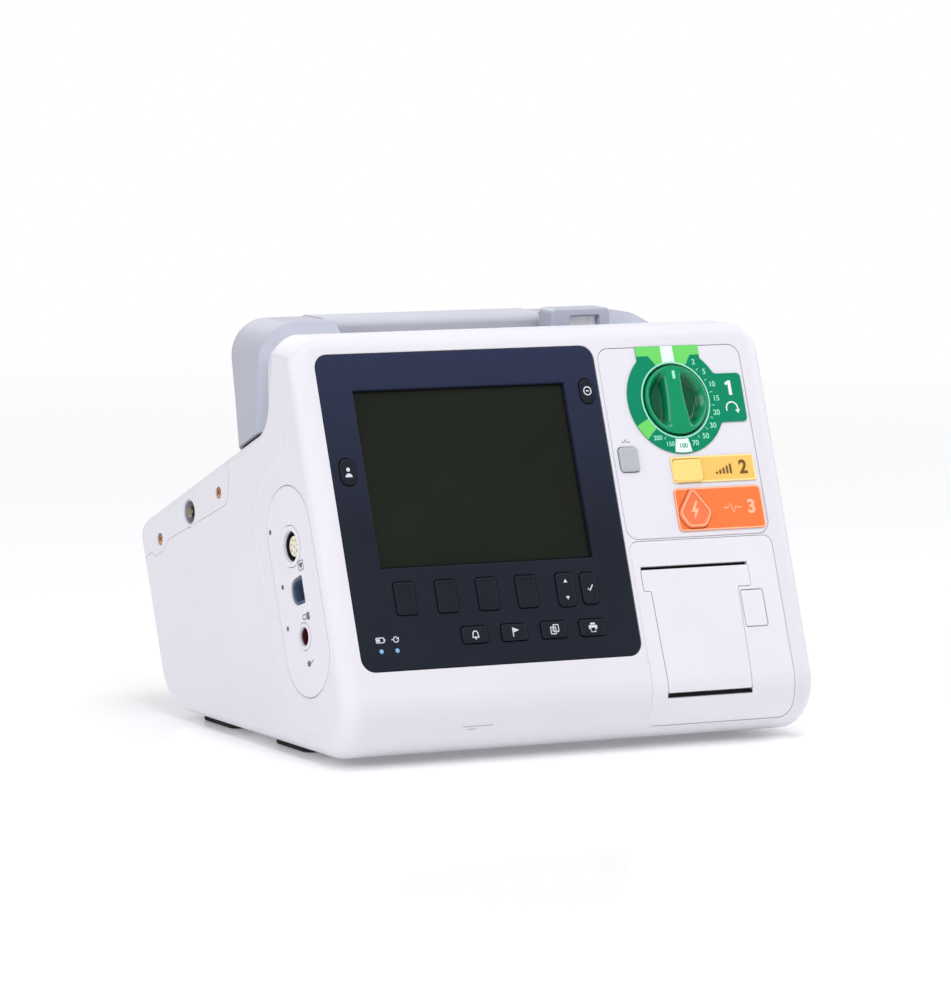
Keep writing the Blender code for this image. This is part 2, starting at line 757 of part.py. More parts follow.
def dial_label():
    place = on_face(*KNOB_CENTRE)
    made = label("dial_label", circle(LABEL_RADIUS, 48), GREEN_PRINT, place)
    tab = rounded([
        (0.015, -0.0205, 0.0, 0),
        (0.0255, -0.0205, 0.0, 0),
        (0.0330, -0.0157, 0.0, 0),
        (0.0509, -0.0157, 0.003, 3),
        (0.0509, 0.0163, 0.003, 3),
        (0.0330, 0.0163, 0.0, 0),
        (0.0255, 0.0205, 0.0, 0),
        (0.015, 0.0205, 0.0, 0),
    ])
    join(made, label("dial_tab", tab, GREEN_PRINT, place))
    band = rectangle(0.0466, 0.0104, 0.0006, 1, (-0.0004, 0.0304))
    join(made, label("dial_band", band, GREEN_PRINT, place))
    return cut(made, prism("dial_hole", circle(KNOB_WELL[0] + 0.0002, 48), -0.01, 0.01,
                           GREEN_PRINT, place))


def action_label(name, place, finish, control_name):
    made = label(name, panel(place), finish, FACE)
    return cut(made, control_hole(control_name, "label_way"))


def half_moon(side):
    """Outline of the finger scoop on one side of the knob's ridge."""
    radius = KNOB_RADIUS - 0.0022
    reach = math.acos(KNOB_RIDGE / radius)
    steps = 18
    middle = 0.0 if side > 0 else math.pi
    angles = [middle - reach + 2 * reach * i / steps for i in range(steps + 1)]
    return [Vector((radius * math.cos(a), radius * math.sin(a))) for a in angles]


def therapy_knob():
    """Round knob sunk in its well, with a scoop each side of a ridge that points up at rest."""
    place = on_face(*KNOB_CENTRE)
    body = [(-0.0085, -0.0006), (-0.0079, 0.0), (0.0014, 0.0), (0.0022, -0.0008), (0.0025, -0.0018)]
    made = stack("therapy_knob", circle(KNOB_RADIUS, 48), body, GREEN, place)
    for name, side in (("left", -1), ("right", 1)):
        cut(made, prism(f"knob_scoop_{name}", half_moon(side), -0.0045, CUTTER_END, GREEN, place))
    return cut(made, prism("knob_bore", circle(0.0031, 16), -CUTTER_END, -0.0010, GREEN, place))


def switch_shaft():
    return stack("switch_shaft", circle(0.0028, 16), [(-0.0230, -0.0003), (-0.0014, -0.0003)],
                 METAL, on_face(*KNOB_CENTRE))


def rotary_switch():
    place = on_face(*KNOB_CENTRE)
    made = prism("rotary_switch", rectangle(0.030, 0.030, 0.003, 2), -0.0275, -0.0118, BLACK, place)
    return cut(made, prism("switch_bore", circle(0.0029, 16), -0.0235, CUTTER_END, BLACK, place))


# ---------------------------------------------------------------- printer

DOOR_TOP, DOOR_STEP, DOOR_LOW = 0.1185, 0.1050, 0.0395
DOOR_HINGE = (0.0410, 0.0032)   # the hinge axis: v and depth
DOOR_PLATE = 0.0026
LATCH = (0.1310, 0.0903)
ROLL = (0.0905, 0.0800, 0.0300)  # u, v and depth of the paper roll's axis
PLATEN = (0.0905, 0.1128, 0.0090)


def door_outline(grow=0.0):
    return offset(rounded([
        (0.0590, DOOR_LOW, 0.0, 0),
        (0.1200, DOOR_LOW, 0.0, 0),
        (0.1213, DOOR_STEP, 0.0005, 1),
        (0.1312, DOOR_STEP, 0.0015, 2),
        (0.1312, DOOR_TOP, 0.0010, 1),
        (0.0524, DOOR_TOP, 0.0010, 1),
        (0.0524, DOOR_STEP, 0.0015, 2),
        (0.0577, DOOR_STEP, 0.0005, 1),
    ]), grow)


def skin(name, sink, thickness):
    """A band that follows the front outline of the case, sunk and of this thickness."""
    outer = prism(name, offset(BODY_OUTLINE, -sink), -0.2, 0.2, WHITE, SIDE)
    core = offset(BODY_OUTLINE, -sink - thickness)
    inner = prism(f"{name}_core", core, -0.21, 0.21, WHITE, SIDE)
    return cut(outer, inner)


def printer_frame():
    """Face plate and paper bucket in one moulding."""
    made = prism("printer_frame", panel(PRINTER), -0.018, 0.02, WHITE, FACE)
    keep(made, skin("printer_skin", PANEL_SINK, PLATE))
    bucket = rectangle(0.0880, 0.0880, 0.004, 2, (0.0915, 0.0845))
    join(made, prism("bucket_outer", bucket, -0.0560, -0.0020, WHITE, FACE))
    hollow = rectangle(0.0680, 0.0800, 0.004, 2, (0.0905, 0.0845))
    cut(made, prism("bucket_inner", hollow, -0.0540, -0.0033, WHITE, FACE))
    cut(made, prism("door_opening", door_outline(0.0004), -0.0120, 0.02, WHITE, FACE))
    slot = rectangle(0.0788, 0.0030, 0.0004, 1, (0.0918, 0.1193))
    cut(made, prism("paper_slot", slot, -0.0120, 0.02, WHITE, FACE))
    hinge = rectangle(0.0624, 0.0044, 0.0004, 1, (0.0895, 0.0385))
    cut(made, prism("hinge_slot", hinge, -0.0060, 0.02, WHITE, FACE))
    latch = key_outline(0.0160, 0.0235, 0.0012, KEY_GAP)
    cut(made, prism("latch_way", latch, -0.0120, 0.02, WHITE, on_face(*LATCH)))
    back_way = key_outline(0.0160, 0.0235, 0.0012, 0.0018)
    return cut(made, prism("latch_back", back_way, -0.0120, -0.0034, WHITE, on_face(*LATCH)))


def door_place():
    v, depth = DOOR_HINGE
    return on_face(0.0, v, depth)


def in_door(outline):
    return [p - Vector((0, DOOR_HINGE[0])) for p in outline]


def printer_door():
    """Door that follows the front's curve, and two ears that carry the platen roller."""
    depth = DOOR_HINGE[1]
    back = depth - PANEL_SINK - DOOR_PLATE
    outline = in_door(door_outline())
    made = prism("printer_door", outline, -0.010, 0.020, WHITE, door_place())
    keep(made, skin("door_skin", PANEL_SINK, DOOR_PLATE))
    ear = rectangle(0.0024, 0.0100, 0.0010, 1)
    for index, u in enumerate((PLATEN[0] - 0.0290, PLATEN[0] + 0.0290)):
        lug = door_place() @ Matrix.Translation((u, PLATEN[1] - 0.0015 - DOOR_HINGE[0], 0))
        join(made, prism(f"door_ear_{index}", ear, depth - 0.0130, back + 0.0010, WHITE, lug))
    return made


def along_x(u, v, depth):
    """A frame on the face whose local z runs along +X."""
    place = on_face(u, v, depth)
    return place @ Matrix.Rotation(math.pi / 2, 4, "Y")


def platen_roller():
    half = 0.0272
    return stack("platen_roller", circle(0.0044, 16),
                 [(-half, -0.0006), (-half + 0.0006, 0), (half - 0.0006, 0), (half, -0.0006)],
                 RUBBER, along_x(*PLATEN))


def paper_roll():
    stations = [(-0.0250, -0.0004), (-0.0246, 0), (0.0246, 0), (0.0250, -0.0004),
                (0.0250, -0.0115), (-0.0240, -0.0115)]
    return stack("paper_roll", circle(0.0175, 32), stations, PAPER, along_x(*ROLL))


def print_head():
    bar = rectangle(0.0560, 0.0050, 0.0006, 1, (PLATEN[0], 0.1212))
    return prism("print_head", bar, -0.0190, -0.0125, METAL, FACE)


def door_latch():
    back = PANEL_SINK + PLATE + GAP
    stations = [(-back - KEY_FLANGE, KEY_FLANGE), (-back, KEY_FLANGE), (-back, 0.0),
                (-0.0008, 0.0), (-0.0003, -0.0005)]
    return stack("door_latch", key_outline(0.0160, 0.0235, 0.0012), stations, WHITE,
                 on_face(*LATCH))


# ---------------------------------------------------------------- back, inside and underside

def bay_block(name, x):
    """The closed block that fills one of the two bays."""
    width, height, depth = BAY
    outline = rectangle(width - BAY_PLAY, height - BAY_PLAY, 0.0034, 3)
    stations = [(-depth + 0.0006, -0.001), (-depth + 0.002, 0), (-0.0014, 0), (-0.0004, -0.001)]
    return stack(name, outline, stations, BLACK, on_back(x, BAY_V))


def battery_pack():
    made = bay_block("battery_pack", -BAY_X)
    pocket = rectangle(0.034, 0.016, 0.002, 2, (0, 0.0140))
    return cut(made, prism("battery_pocket", pocket, -0.0060, 0.01, BLACK,
                           on_back(-BAY_X, BAY_V)))


def battery_latch():
    slider = rectangle(0.0330, 0.0110, 0.0016, 2, (0, 0.0118))
    stations = [(-0.0057, 0), (-0.0020, 0), (-0.0012, -0.0006)]
    return stack("battery_latch", slider, stations, GREY, on_back(-BAY_X, BAY_V))


def power_module():
    """Mains power module that fills the second bay, with its inlet recess."""
    place = on_back(BAY_X, BAY_V)
    made = bay_block("power_module", BAY_X)
    inlet = rounded([
        (-0.0118, -0.0090, 0.0010, 1),
        (0.0118, -0.0090, 0.0010, 1),
        (0.0118, 0.0040, 0.0, 0),
        (0.0068, 0.0090, 0.0, 0),
        (-0.0068, 0.0090, 0.0, 0),
        (-0.0118, 0.0040, 0.0, 0),
    ])
    cut(made, prism("inlet_well", inlet, -0.0190, 0.01, BLACK, place))
    blades = []
    for index, (x, y) in enumerate(((-0.007, -0.002), (0.0, 0.002), (0.007, -0.002))):
        blade = rectangle(0.0022, 0.0042, 0.0, 0, (x, y))
        blades.append(prism(f"inlet_blade_{index}", blade, -0.0195, -0.0045, METAL, place))
    return join(made, *blades)


def main_board():
    board = rectangle(0.270, 0.150, 0.004, 1, (-0.015, 0.150))
    return prism("main_board", board, -0.0700, -0.0684, BOARD, FACE)


def energy_capacitor():
    """The energy storage capacitor, lying across the case under the slope."""
    place = SIDE @ Matrix.Translation((0.118, 0.034, 0.0))
    stations = [(-0.058, -0.002), (-0.056, 0), (0.056, 0), (0.058, -0.002)]
    return stack("energy_capacitor", circle(0.0210, 28), stations, BLACK, place)


def speaker():
    cone = [(-0.0205, -0.0080), (-0.0105, -0.0040), (-0.0085, 0.0), (-0.0060, 0.0),
            (-0.0060, -0.0025), (-0.0085, -0.0090)]
    return stack("speaker", circle(0.0190, 24), cone, BLACK, on_face(-0.105, 0.0520, 0.008))


def foot_places():
    """Centres of the feet as (x, y) in the unit's frame."""
    places = []
    for x in (-FOOT_X, FOOT_X):
        for y in FOOT_YS:
            places.append((x, y + FACE_FOOT))
    return places


def foot(index, x, y):
    """A rubber pad with a button that presses into the base."""
    place = Matrix.Translation((x, y, 0))
    pad = rectangle(0.018, 0.044, 0.006, 3)
    made = stack(f"foot_{index}", pad, [(0.0, -0.0010), (0.0008, 0.0), (0.0036, 0.0)], RUBBER, place)
    return join(made, prism(f"foot_button_{index}", circle(0.0026, 12), 0.0020, 0.0100, RUBBER,
                            place))


def cover_screw(name, frame, place):
    head = [(-0.0190, -0.0022), (-0.0022, -0.0022), (-0.0022, 0.0), (-0.0009, 0.0),
            (-0.0004, -0.0008), (-0.0004, -0.0020), (-0.0016, -0.0020)]
    return stack(name, circle(0.0036, 16), head, BRASS, on_side(frame, *place))


def accessory_stud(name, frame):
    """A headed post in a round pocket, which a bag or tray clips to."""
    post = [(-0.0180, -0.0046), (-0.0087, -0.0046), (-0.0087, 0.0), (-0.0074, 0.0),
            (-0.0066, -0.0038), (-0.0028, -0.0038), (-0.0022, -0.0022), (-0.0008, -0.0022),
            (-0.0003, -0.0030)]
    return stack(name, circle(0.0062, 20), post, METAL, on_side(frame, *STUD))


# ---------------------------------------------------------------- assembly

def clear_scene():
    for old in list(bpy.data.objects):
        bpy.data.objects.remove(old, do_unlink=True)


def main():
    clear_scene()
    front_case()
    rear_case()
    top_cover()
    handle_hood()
    ready_indicator()
    handle_grip()

    port_panel_left()
    ecg_socket()
    spo2_socket()
    nibp_fitting()
    therapy_socket()

    display_bezel()
    status_lights()
    lcd_window()
    lcd_module()
    key_board()
    for name, values in KEYS.items():
        key(name, *values)

    therapy_panel()
    dial_label()
    action_label("charge_label", (0.0872, 0.1487, 0.1733, 0.1905, 0.0014), YELLOW,
                 "charge_button")
    action_label("shock_label", (0.0855, 0.1500, 0.1419, 0.1699, 0.0030), ORANGE,
                 "shock_button")
    control("sync_button", SYNC_GREY, 0.0016)
    control("charge_button", YELLOW_KEY, 0.0018)
    control("shock_button", ORANGE_KEY, 0.0020)
    therapy_knob()
    switch_shaft()
    rotary_switch()

    printer_frame()
    printer_door()
    platen_roller()
    paper_roll()
    print_head()
    door_latch()

    battery_pack()
    battery_latch()
    power_module()
    main_board()
    energy_capacitor()
    speaker()
    for index, (x, y) in enumerate(foot_places()):
        foot(index + 1, x, y)
    for side, frame in (("left", LEFT_OUT), ("right", RIGHT_OUT)):
        accessory_stud(f"stud_{side}", frame)
        for index, place in enumerate(SCREWS):
            cover_screw(f"cover_screw_{side}_{index + 1}", frame, place)


main()
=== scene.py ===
"""The looks of a portable monitor defibrillator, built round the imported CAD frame.

Lengths are metres in the frame's own axes. Places on the front are (u, v, depth): u
across, v up the leaning face from the floor line, depth behind the face.
"""

import json
import math

import bmesh
import bpy
from mathutils import Matrix, Vector


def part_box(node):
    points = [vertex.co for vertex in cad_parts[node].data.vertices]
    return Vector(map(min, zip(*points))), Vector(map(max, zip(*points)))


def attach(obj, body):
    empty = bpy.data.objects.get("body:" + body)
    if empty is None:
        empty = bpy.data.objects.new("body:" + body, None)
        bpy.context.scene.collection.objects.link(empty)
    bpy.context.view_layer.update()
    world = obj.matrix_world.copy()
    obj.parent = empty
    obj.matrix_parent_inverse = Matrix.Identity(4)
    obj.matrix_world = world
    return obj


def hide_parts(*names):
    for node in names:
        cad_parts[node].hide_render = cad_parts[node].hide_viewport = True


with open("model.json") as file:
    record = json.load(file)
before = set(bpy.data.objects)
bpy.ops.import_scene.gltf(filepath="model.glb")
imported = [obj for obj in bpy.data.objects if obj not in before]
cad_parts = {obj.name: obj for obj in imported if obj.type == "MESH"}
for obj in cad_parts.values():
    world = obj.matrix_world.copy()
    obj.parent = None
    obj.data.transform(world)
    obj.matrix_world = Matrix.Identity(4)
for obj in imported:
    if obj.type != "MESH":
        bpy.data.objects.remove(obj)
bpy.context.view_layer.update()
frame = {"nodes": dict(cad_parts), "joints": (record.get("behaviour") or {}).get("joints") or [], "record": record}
NODES = frame["nodes"]
JOINTS = {joint["name"]: joint for joint in frame["joints"]}


# ---------------------------------------------------------------- places from the frame

def axes(x_axis, y_axis, z_axis, origin):
    matrix = Matrix((x_axis, y_axis, z_axis)).transposed().to_4x4()
    matrix.translation = origin
    return matrix


KNOB_TURN = JOINTS["therapy_knob_turn"]
OUTWARD = -Vector(KNOB_TURN["axis"]).normalized()
SIN, COS = OUTWARD.z, -OUTWARD.y
LEAN = SIN / COS
UP_FACE = Vector((0, SIN, COS))
KNOB_POINT = Vector(KNOB_TURN["pos_m"])
KNOB_CENTRE = (KNOB_POINT.x, KNOB_POINT.z / COS)
FACE_FOOT = KNOB_POINT.y - KNOB_POINT.z * LEAN

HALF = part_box("front_case")[1].x
BASE_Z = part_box("front_case")[0].z
TOP_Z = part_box("front_case")[1].z

FACE = axes((1, 0, 0), UP_FACE, OUTWARD, (0, FACE_FOOT, 0))
SIDE = axes((0, 1, 0), (0, 0, 1), (1, 0, 0), (0, FACE_FOOT, 0))
ACROSS = axes((1, 0, 0), (0, 0, 1), (0, -1, 0), (0, FACE_FOOT, 0))
LEFT_OUT = axes(OUTWARD, UP_FACE, (-1, 0, 0), (-HALF, FACE_FOOT, 0))
RIGHT_OUT = axes(-OUTWARD, UP_FACE, (1, 0, 0), (HALF, FACE_FOOT, 0))


def span(node, place=FACE, top=None):
    """Low and high corner of a CAD node in a local frame, or of only what lies near its front."""
    inverse = place.inverted()
    points = [inverse @ vertex.co for vertex in NODES[node].data.vertices]
    if top is not None:
        front = max(point.z for point in points)
        points = [point for point in points if point.z > front - top]
    low = Vector([min(point[i] for point in points) for i in range(3)])
    high = Vector([max(point[i] for point in points) for i in range(3)])
    return low, high


def middle(node, place=FACE):
    low, high = span(node, place)
    return (low + high) / 2


BODY_DEPTH = -span("rear_case")[0].z
BACK_OUT = axes((-1, 0, 0), UP_FACE, -OUTWARD, Vector((0, FACE_FOOT, 0)) - OUTWARD * BODY_DEPTH)


def on_face(u, v, depth=0.0):
    return FACE @ Matrix.Translation((u, v, -depth))


def moved(place, x, y, z=0.0):
    return place @ Matrix.Translation((x, y, z))


# ---------------------------------------------------------------- outlines

def arc_between(before, corner, after, radius, steps):
    """The rounded corner's points, from one tangent point to the other."""
    here = Vector(corner)
    towards_before = (Vector(before) - here).normalized()
    towards_after = (Vector(after) - here).normalized()
    half = towards_before.angle(towards_after) / 2
    centre = here + (towards_before + towards_after).normalized() * radius / math.sin(half)
    start = here + towards_before * radius / math.tan(half) - centre
    turn = start.angle_signed(here + towards_after * radius / math.tan(half) - centre)
    return [centre + Matrix.Rotation(-turn * i / steps, 2) @ start for i in range(steps + 1)]


def rounded(corners, steps=8):
    """A closed outline from (x, y, radius) corners; radius 0 keeps a corner sharp."""
    points = []
    for i, (x, y, radius) in enumerate(corners):
        if radius == 0:
            points.append(Vector((x, y)))
            continue
        before = corners[i - 1][:2]
        after = corners[(i + 1) % len(corners)][:2]
        points.extend(arc_between(before, (x, y), after, radius, steps))
    return points


def rectangle(width, height, radius=0.0, centre=(0.0, 0.0), steps=8):
    x, y = width / 2, height / 2
    corners = [(-x, -y), (x, -y), (x, y), (-x, y)]
    return rounded([(cx + centre[0], cy + centre[1], radius) for cx, cy in corners], steps)


def between(low, high, radius, grow=0.0):
    """Rounded rectangle between two corners of a node's span."""
    centre = ((low.x + high.x) / 2, (low.y + high.y) / 2)
    width, height = high.x - low.x + 2 * grow, high.y - low.y + 2 * grow
    return rectangle(width, height, radius + grow, centre)


def circle(radius, sides=64, centre=(0.0, 0.0)):
    turn = 2 * math.pi / sides
    return [
        Vector((centre[0] + radius * math.cos(turn * i), centre[1] + radius * math.sin(turn * i)))
        for i in range(sides)
    ]


def at_bearing(radius, degrees):
    """A point on a circle; bearings run clockwise from straight up."""
    bearing = math.radians(degrees)
    return Vector((radius * math.sin(bearing), radius * math.cos(bearing)))


def sector(inner, outer, start, end, steps=12):
    """Part of a ring, between two bearings."""
    turn = end - start
    far = [at_bearing(outer, start + turn * (1 - i / steps)) for i in range(steps + 1)]
    near = [at_bearing(inner, start + turn * (i / steps)) for i in range(steps + 1)]
    return far + near


def offset(outline, amounts):
    """Moves each point of an outline outwards by its amount, or by one number."""
    count = len(outline)
    if isinstance(amounts, (int, float)):
        amounts = [amounts] * count
    result = []
    for i, point in enumerate(outline):
        along_in = (point - outline[i - 1]).normalized()
        along_out = (outline[(i + 1) % count] - point).normalized()
        normal_in = Vector((along_in.y, -along_in.x))
        normal_out = Vector((along_out.y, -along_out.x))
        shift = (normal_in + normal_out) / (1 + normal_in.dot(normal_out))
        result.append(point + shift * amounts[i])
    return result


# ---------------------------------------------------------------- solids

def link(name, shape, matrix=None):
    mesh = bpy.data.meshes.new(name)
    shape.to_mesh(mesh)
    shape.free()
    made = bpy.data.objects.new(name, mesh)
    bpy.context.scene.collection.objects.link(made)
    if matrix is not None:
        made.matrix_world = matrix
    return made


def stack(name, outline, stations, matrix=None):
    """A closed solid: the outline at each (z, outward offset) station, skinned and capped."""
    shape = bmesh.new()
    rings = []
    for z, grow in stations:
        rings.append([shape.verts.new((p.x, p.y, z)) for p in offset(outline, grow)])
    count = len(outline)
    for lower, upper in zip(rings, rings[1:]):
        for i in range(count):
            following = (i + 1) % count
            shape.faces.new((lower[i], lower[following], upper[following], upper[i]))
    shape.faces.new(list(reversed(rings[0])))
    shape.faces.new(rings[-1])
    bmesh.ops.recalc_face_normals(shape, faces=shape.faces)
    return link(name, shape, matrix)


def prism(name, outline, low, high, matrix=None):
    return stack(name, outline, [(low, 0.0), (high, 0.0)], matrix)


def rounded_front(radius, front=0.0, steps=5):
    """Stations of a convex rounded edge that ends at the front."""
    stations = []
    for i in range(steps + 1):
        angle = math.pi / 2 * i / steps
        stations.append((front - radius * (1 - math.sin(angle)),
                         -radius * (1 - math.cos(angle))))
    return stations


def cap(name, outline, back, front, radius, matrix):
    """A solid with a soft front edge."""
    return stack(name, outline, [(back, 0.0)] + rounded_front(radius, front), matrix)


CUT_CLEAR = 0.02               # how far a cutter reaches out past the surface


def opening(name, outline, low, lip, matrix, surface=0.0, steps=4):
    """A cutter whose mouth flares by a quarter round, so the edge it leaves is soft."""
    stations = [(low, 0.0)]
    for i in range(steps):
        z = surface - lip * math.cos(math.pi / 2 * i / steps)
        stations.append((z, lip - math.sqrt(max(0.0, lip * lip - (z - surface + lip) ** 2))))
    stations += [(surface + 0.00002, lip), (surface + CUT_CLEAR, lip)]
    return stack(name, outline, stations, matrix)


def combine(target, tool, operation):
    tool.hide_render = True
    modifier = target.modifiers.new(operation.lower(), "BOOLEAN")
    modifier.operation = operation
    modifier.solver = "EXACT"
    modifier.object = tool
    return target


def cut(target, *tools):
    for tool in tools:
        combine(target, tool, "DIFFERENCE")
    return target


def join(target, *tools):
    for tool in tools:
        combine(target, tool, "UNION")
    return target


def keep(target, *tools):
    for tool in tools:
        combine(target, tool, "INTERSECT")
    return target


def remove_tools(made):
    for modifier in list(made.modifiers):
        if modifier.type == "BOOLEAN":
            tool = modifier.object
            made.modifiers.remove(modifier)
            remove_tools(tool)
            bpy.data.objects.remove(tool)


def settle(made):
    """Applies the Booleans and takes their tools away."""
    if made.modifiers:
        graph = bpy.context.evaluated_depsgraph_get()
        mesh = bpy.data.meshes.new_from_object(made.evaluated_get(graph))
        remove_tools(made)
        made.data = mesh
    return made


SMOOTH_BELOW = math.radians(34)


def show(made, finish, slot, body="case", stands_for=(), smooth=SMOOTH_BELOW):
    """Ends a piece: shading, material, the body it rides on, the CAD nodes it stands for; slot is not used."""
    settle(made)
    made.data.shade_smooth()
    made.data.set_sharp_from_angle(angle=smooth)
    weighted = made.modifiers.new("even_shading", "WEIGHTED_NORMAL")
    weighted.keep_sharp = True
    made.data.materials.clear()
    made.data.materials.append(finish)
    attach(made, body)
    if stands_for:
        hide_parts(*stands_for)
    return made


# ---------------------------------------------------------------- materials

def linear(*channels):
    """A colour given as 0 to 255 sRGB, as the linear one that shaders take."""
    values = []
    for channel in channels:
        share = channel / 255
        low = share <= 0.04045
        values.append(share / 12.92 if low else ((share + 0.055) / 1.055) ** 2.4)
    return (*values, 1.0)


class Nodes:
    """Short calls for building one material's node tree."""

    def __init__(self, name):
        self.material = bpy.data.materials.new(name)
        self.material.use_nodes = True
        self.tree = self.material.node_tree
        self.shader = self.tree.nodes["Principled BSDF"]
        self.place = self.add("ShaderNodeTexCoord").outputs["Object"]

    def add(self, kind, **settings):
        node = self.tree.nodes.new(kind)
        for key, value in settings.items():
            setattr(node, key, value)
        return node

    def wire(self, output, node, socket):
        self.tree.links.new(output, node.inputs[socket])

    def stretched(self, scale):
        mapping = self.add("ShaderNodeMapping")
        mapping.inputs["Scale"].default_value = scale
        self.wire(self.place, mapping, "Vector")
        return mapping.outputs["Vector"]

    def noise(self, scale, detail=3.0, roughness=0.5, vector=None):
        node = self.add("ShaderNodeTexNoise")
        node.inputs["Scale"].default_value = scale
        node.inputs["Detail"].default_value = detail
        node.inputs["Roughness"].default_value = roughness
        self.wire(vector or self.place, node, "Vector")
        return node.outputs["Fac"]

    def cells(self, scale, feature="F1"):
        node = self.add("ShaderNodeTexVoronoi", feature=feature)
        node.inputs["Scale"].default_value = scale
        self.wire(self.place, node, "Vector")
        return node.outputs["Distance"]

    def spread(self, value, low, high, start=0.3, end=0.7):
        """Maps a texture's middle range to low..high."""
        node = self.add("ShaderNodeMapRange")
        node.inputs["From Min"].default_value = start
        node.inputs["From Max"].default_value = end
        node.inputs["To Min"].default_value = low
        node.inputs["To Max"].default_value = high
        self.wire(value, node, "Value")
        return node.outputs["Result"]

    def mix(self, factor, first, second):
        """Colour between two colours or outputs, by an output."""
        node = self.add("ShaderNodeMix", data_type="RGBA")
        self.wire(factor, node, 0)
        for socket, value in ((6, first), (7, second)):
            if isinstance(value, bpy.types.NodeSocket):
                self.wire(value, node, socket)
            else:
                node.inputs[socket].default_value = value
        return node.outputs[2]

    def bump(self, height, strength, distance, before=None):
        node = self.add("ShaderNodeBump")
        node.inputs["Strength"].default_value = strength
        node.inputs["Distance"].default_value = distance
        self.wire(height, node, "Height")
        if before is not None:
            self.wire(before, node, "Normal")
        return node.outputs["Normal"]

    def set(self, **values):
        for key, value in values.items():
            self.shader.inputs[key.replace("_", " ")].default_value = value


def tinted(colour, share):
    return tuple(min(1.0, channel * share) for channel in colour[:3]) + (1.0,)


def plastic(name, colour, roughness, specular=0.5, grain=0.10, grain_scale=2600.0,
            mottle=0.025, wear=0.0, top=None):
    """Moulded plastic: spark-eroded grain, slow tone drift, uneven gloss, handled edges.

    With top, (colour, axis, low, high), the tone runs up to that colour along the axis: painted light, used as a
    painted reflection on the bezel and as painted shade in the knob's scoops.
    """
    nodes = Nodes(name)
    tone_and_painted_light = nodes.mix(
        nodes.spread(nodes.noise(14.0, 4.0), 0.0, 1.0),
        tinted(colour, 1 - mottle),
        tinted(colour, 1 + mottle),
    )
    # painted light: a tone gradient along one axis, lighter or darker where light or shade falls
    if top is not None:
        painted_light_colour, axis, low, high = top
        split = nodes.add("ShaderNodeSeparateXYZ")
        nodes.wire(nodes.place, split, "Vector")
        rise = nodes.spread(split.outputs[axis], 0.0, 1.0, low, high)
        tone_and_painted_light = nodes.mix(rise, tone_and_painted_light, painted_light_colour)
    if wear:
        geometry = nodes.add("ShaderNodeNewGeometry")
        edge = nodes.spread(geometry.outputs["Pointiness"], 0.0, wear, 0.505, 0.56)
        tone_and_painted_light = nodes.mix(edge, tone_and_painted_light, tinted(colour, 1.6))
    nodes.wire(tone_and_painted_light, nodes.shader, "Base Color")
    gloss = nodes.spread(nodes.noise(55.0, 6.0, 0.6), roughness - 0.05, roughness + 0.06)
    nodes.wire(gloss, nodes.shader, "Roughness")
    fine = nodes.bump(nodes.noise(grain_scale, 2.0), grain, 0.0002)
    peel = nodes.bump(nodes.cells(grain_scale / 4, "SMOOTH_F1"), grain / 2, 0.0003, fine)
    nodes.wire(peel, nodes.shader, "Normal")
    nodes.set(Specular_IOR_Level=specular)
    return nodes.material


def printed(name, colour, roughness=0.42, specular=0.16):
    """Ink or label film: an even colour with a faint print grain and handling smears."""
    nodes = Nodes(name)
    speck = nodes.spread(nodes.cells(5200.0), 0.0, 0.06, 0.0, 1.0)
    ink = nodes.mix(speck, colour, tinted(colour, 0.75))
    smear = nodes.spread(nodes.noise(30.0, 5.0), 0.0, 0.05)
    nodes.wire(nodes.mix(smear, ink, tinted(colour, 1.35)), nodes.shader, "Base Color")
    gloss = nodes.spread(nodes.noise(90.0, 5.0), roughness - 0.06, roughness + 0.08)
    nodes.wire(gloss, nodes.shader, "Roughness")
    nodes.wire(nodes.bump(nodes.noise(1500.0, 3.0), 0.05, 0.0001), nodes.shader, "Normal")
    nodes.set(Specular_IOR_Level=specular)
    return nodes.material


def metal(name, colour, roughness):
    """Plated or turned metal with tool marks and dulled patches."""
    nodes = Nodes(name)
    marks = nodes.noise(420.0, 4.0, 0.6, nodes.stretched((1.0, 1.0, 30.0)))
    patches = nodes.spread(nodes.noise(160.0, 5.0), 0.0, 1.0)
    tone = nodes.mix(patches, tinted(colour, 0.82), tinted(colour, 1.08))
    nodes.wire(tone, nodes.shader, "Base Color")
    gloss = nodes.spread(marks, roughness - 0.08, roughness + 0.12)
    nodes.wire(gloss, nodes.shader, "Roughness")
    nodes.wire(nodes.bump(marks, 0.12, 0.0001), nodes.shader, "Normal")
    nodes.set(Metallic=1.0)
    return nodes.material


def rubber(name, colour):
    nodes = Nodes(name)
    dust = nodes.spread(nodes.noise(200.0, 8.0, 0.7), 0.0, 0.35, 0.45, 0.8)
    nodes.wire(nodes.mix(dust, colour, tinted(colour, 2.6)), nodes.shader, "Base Color")
    nodes.wire(nodes.spread(nodes.noise(80.0, 4.0), 0.7, 0.92), nodes.shader, "Roughness")
    nodes.wire(nodes.bump(nodes.noise(1800.0, 4.0), 0.3, 0.0003), nodes.shader, "Normal")
    nodes.set(Specular_IOR_Level=0.3)
    return nodes.material


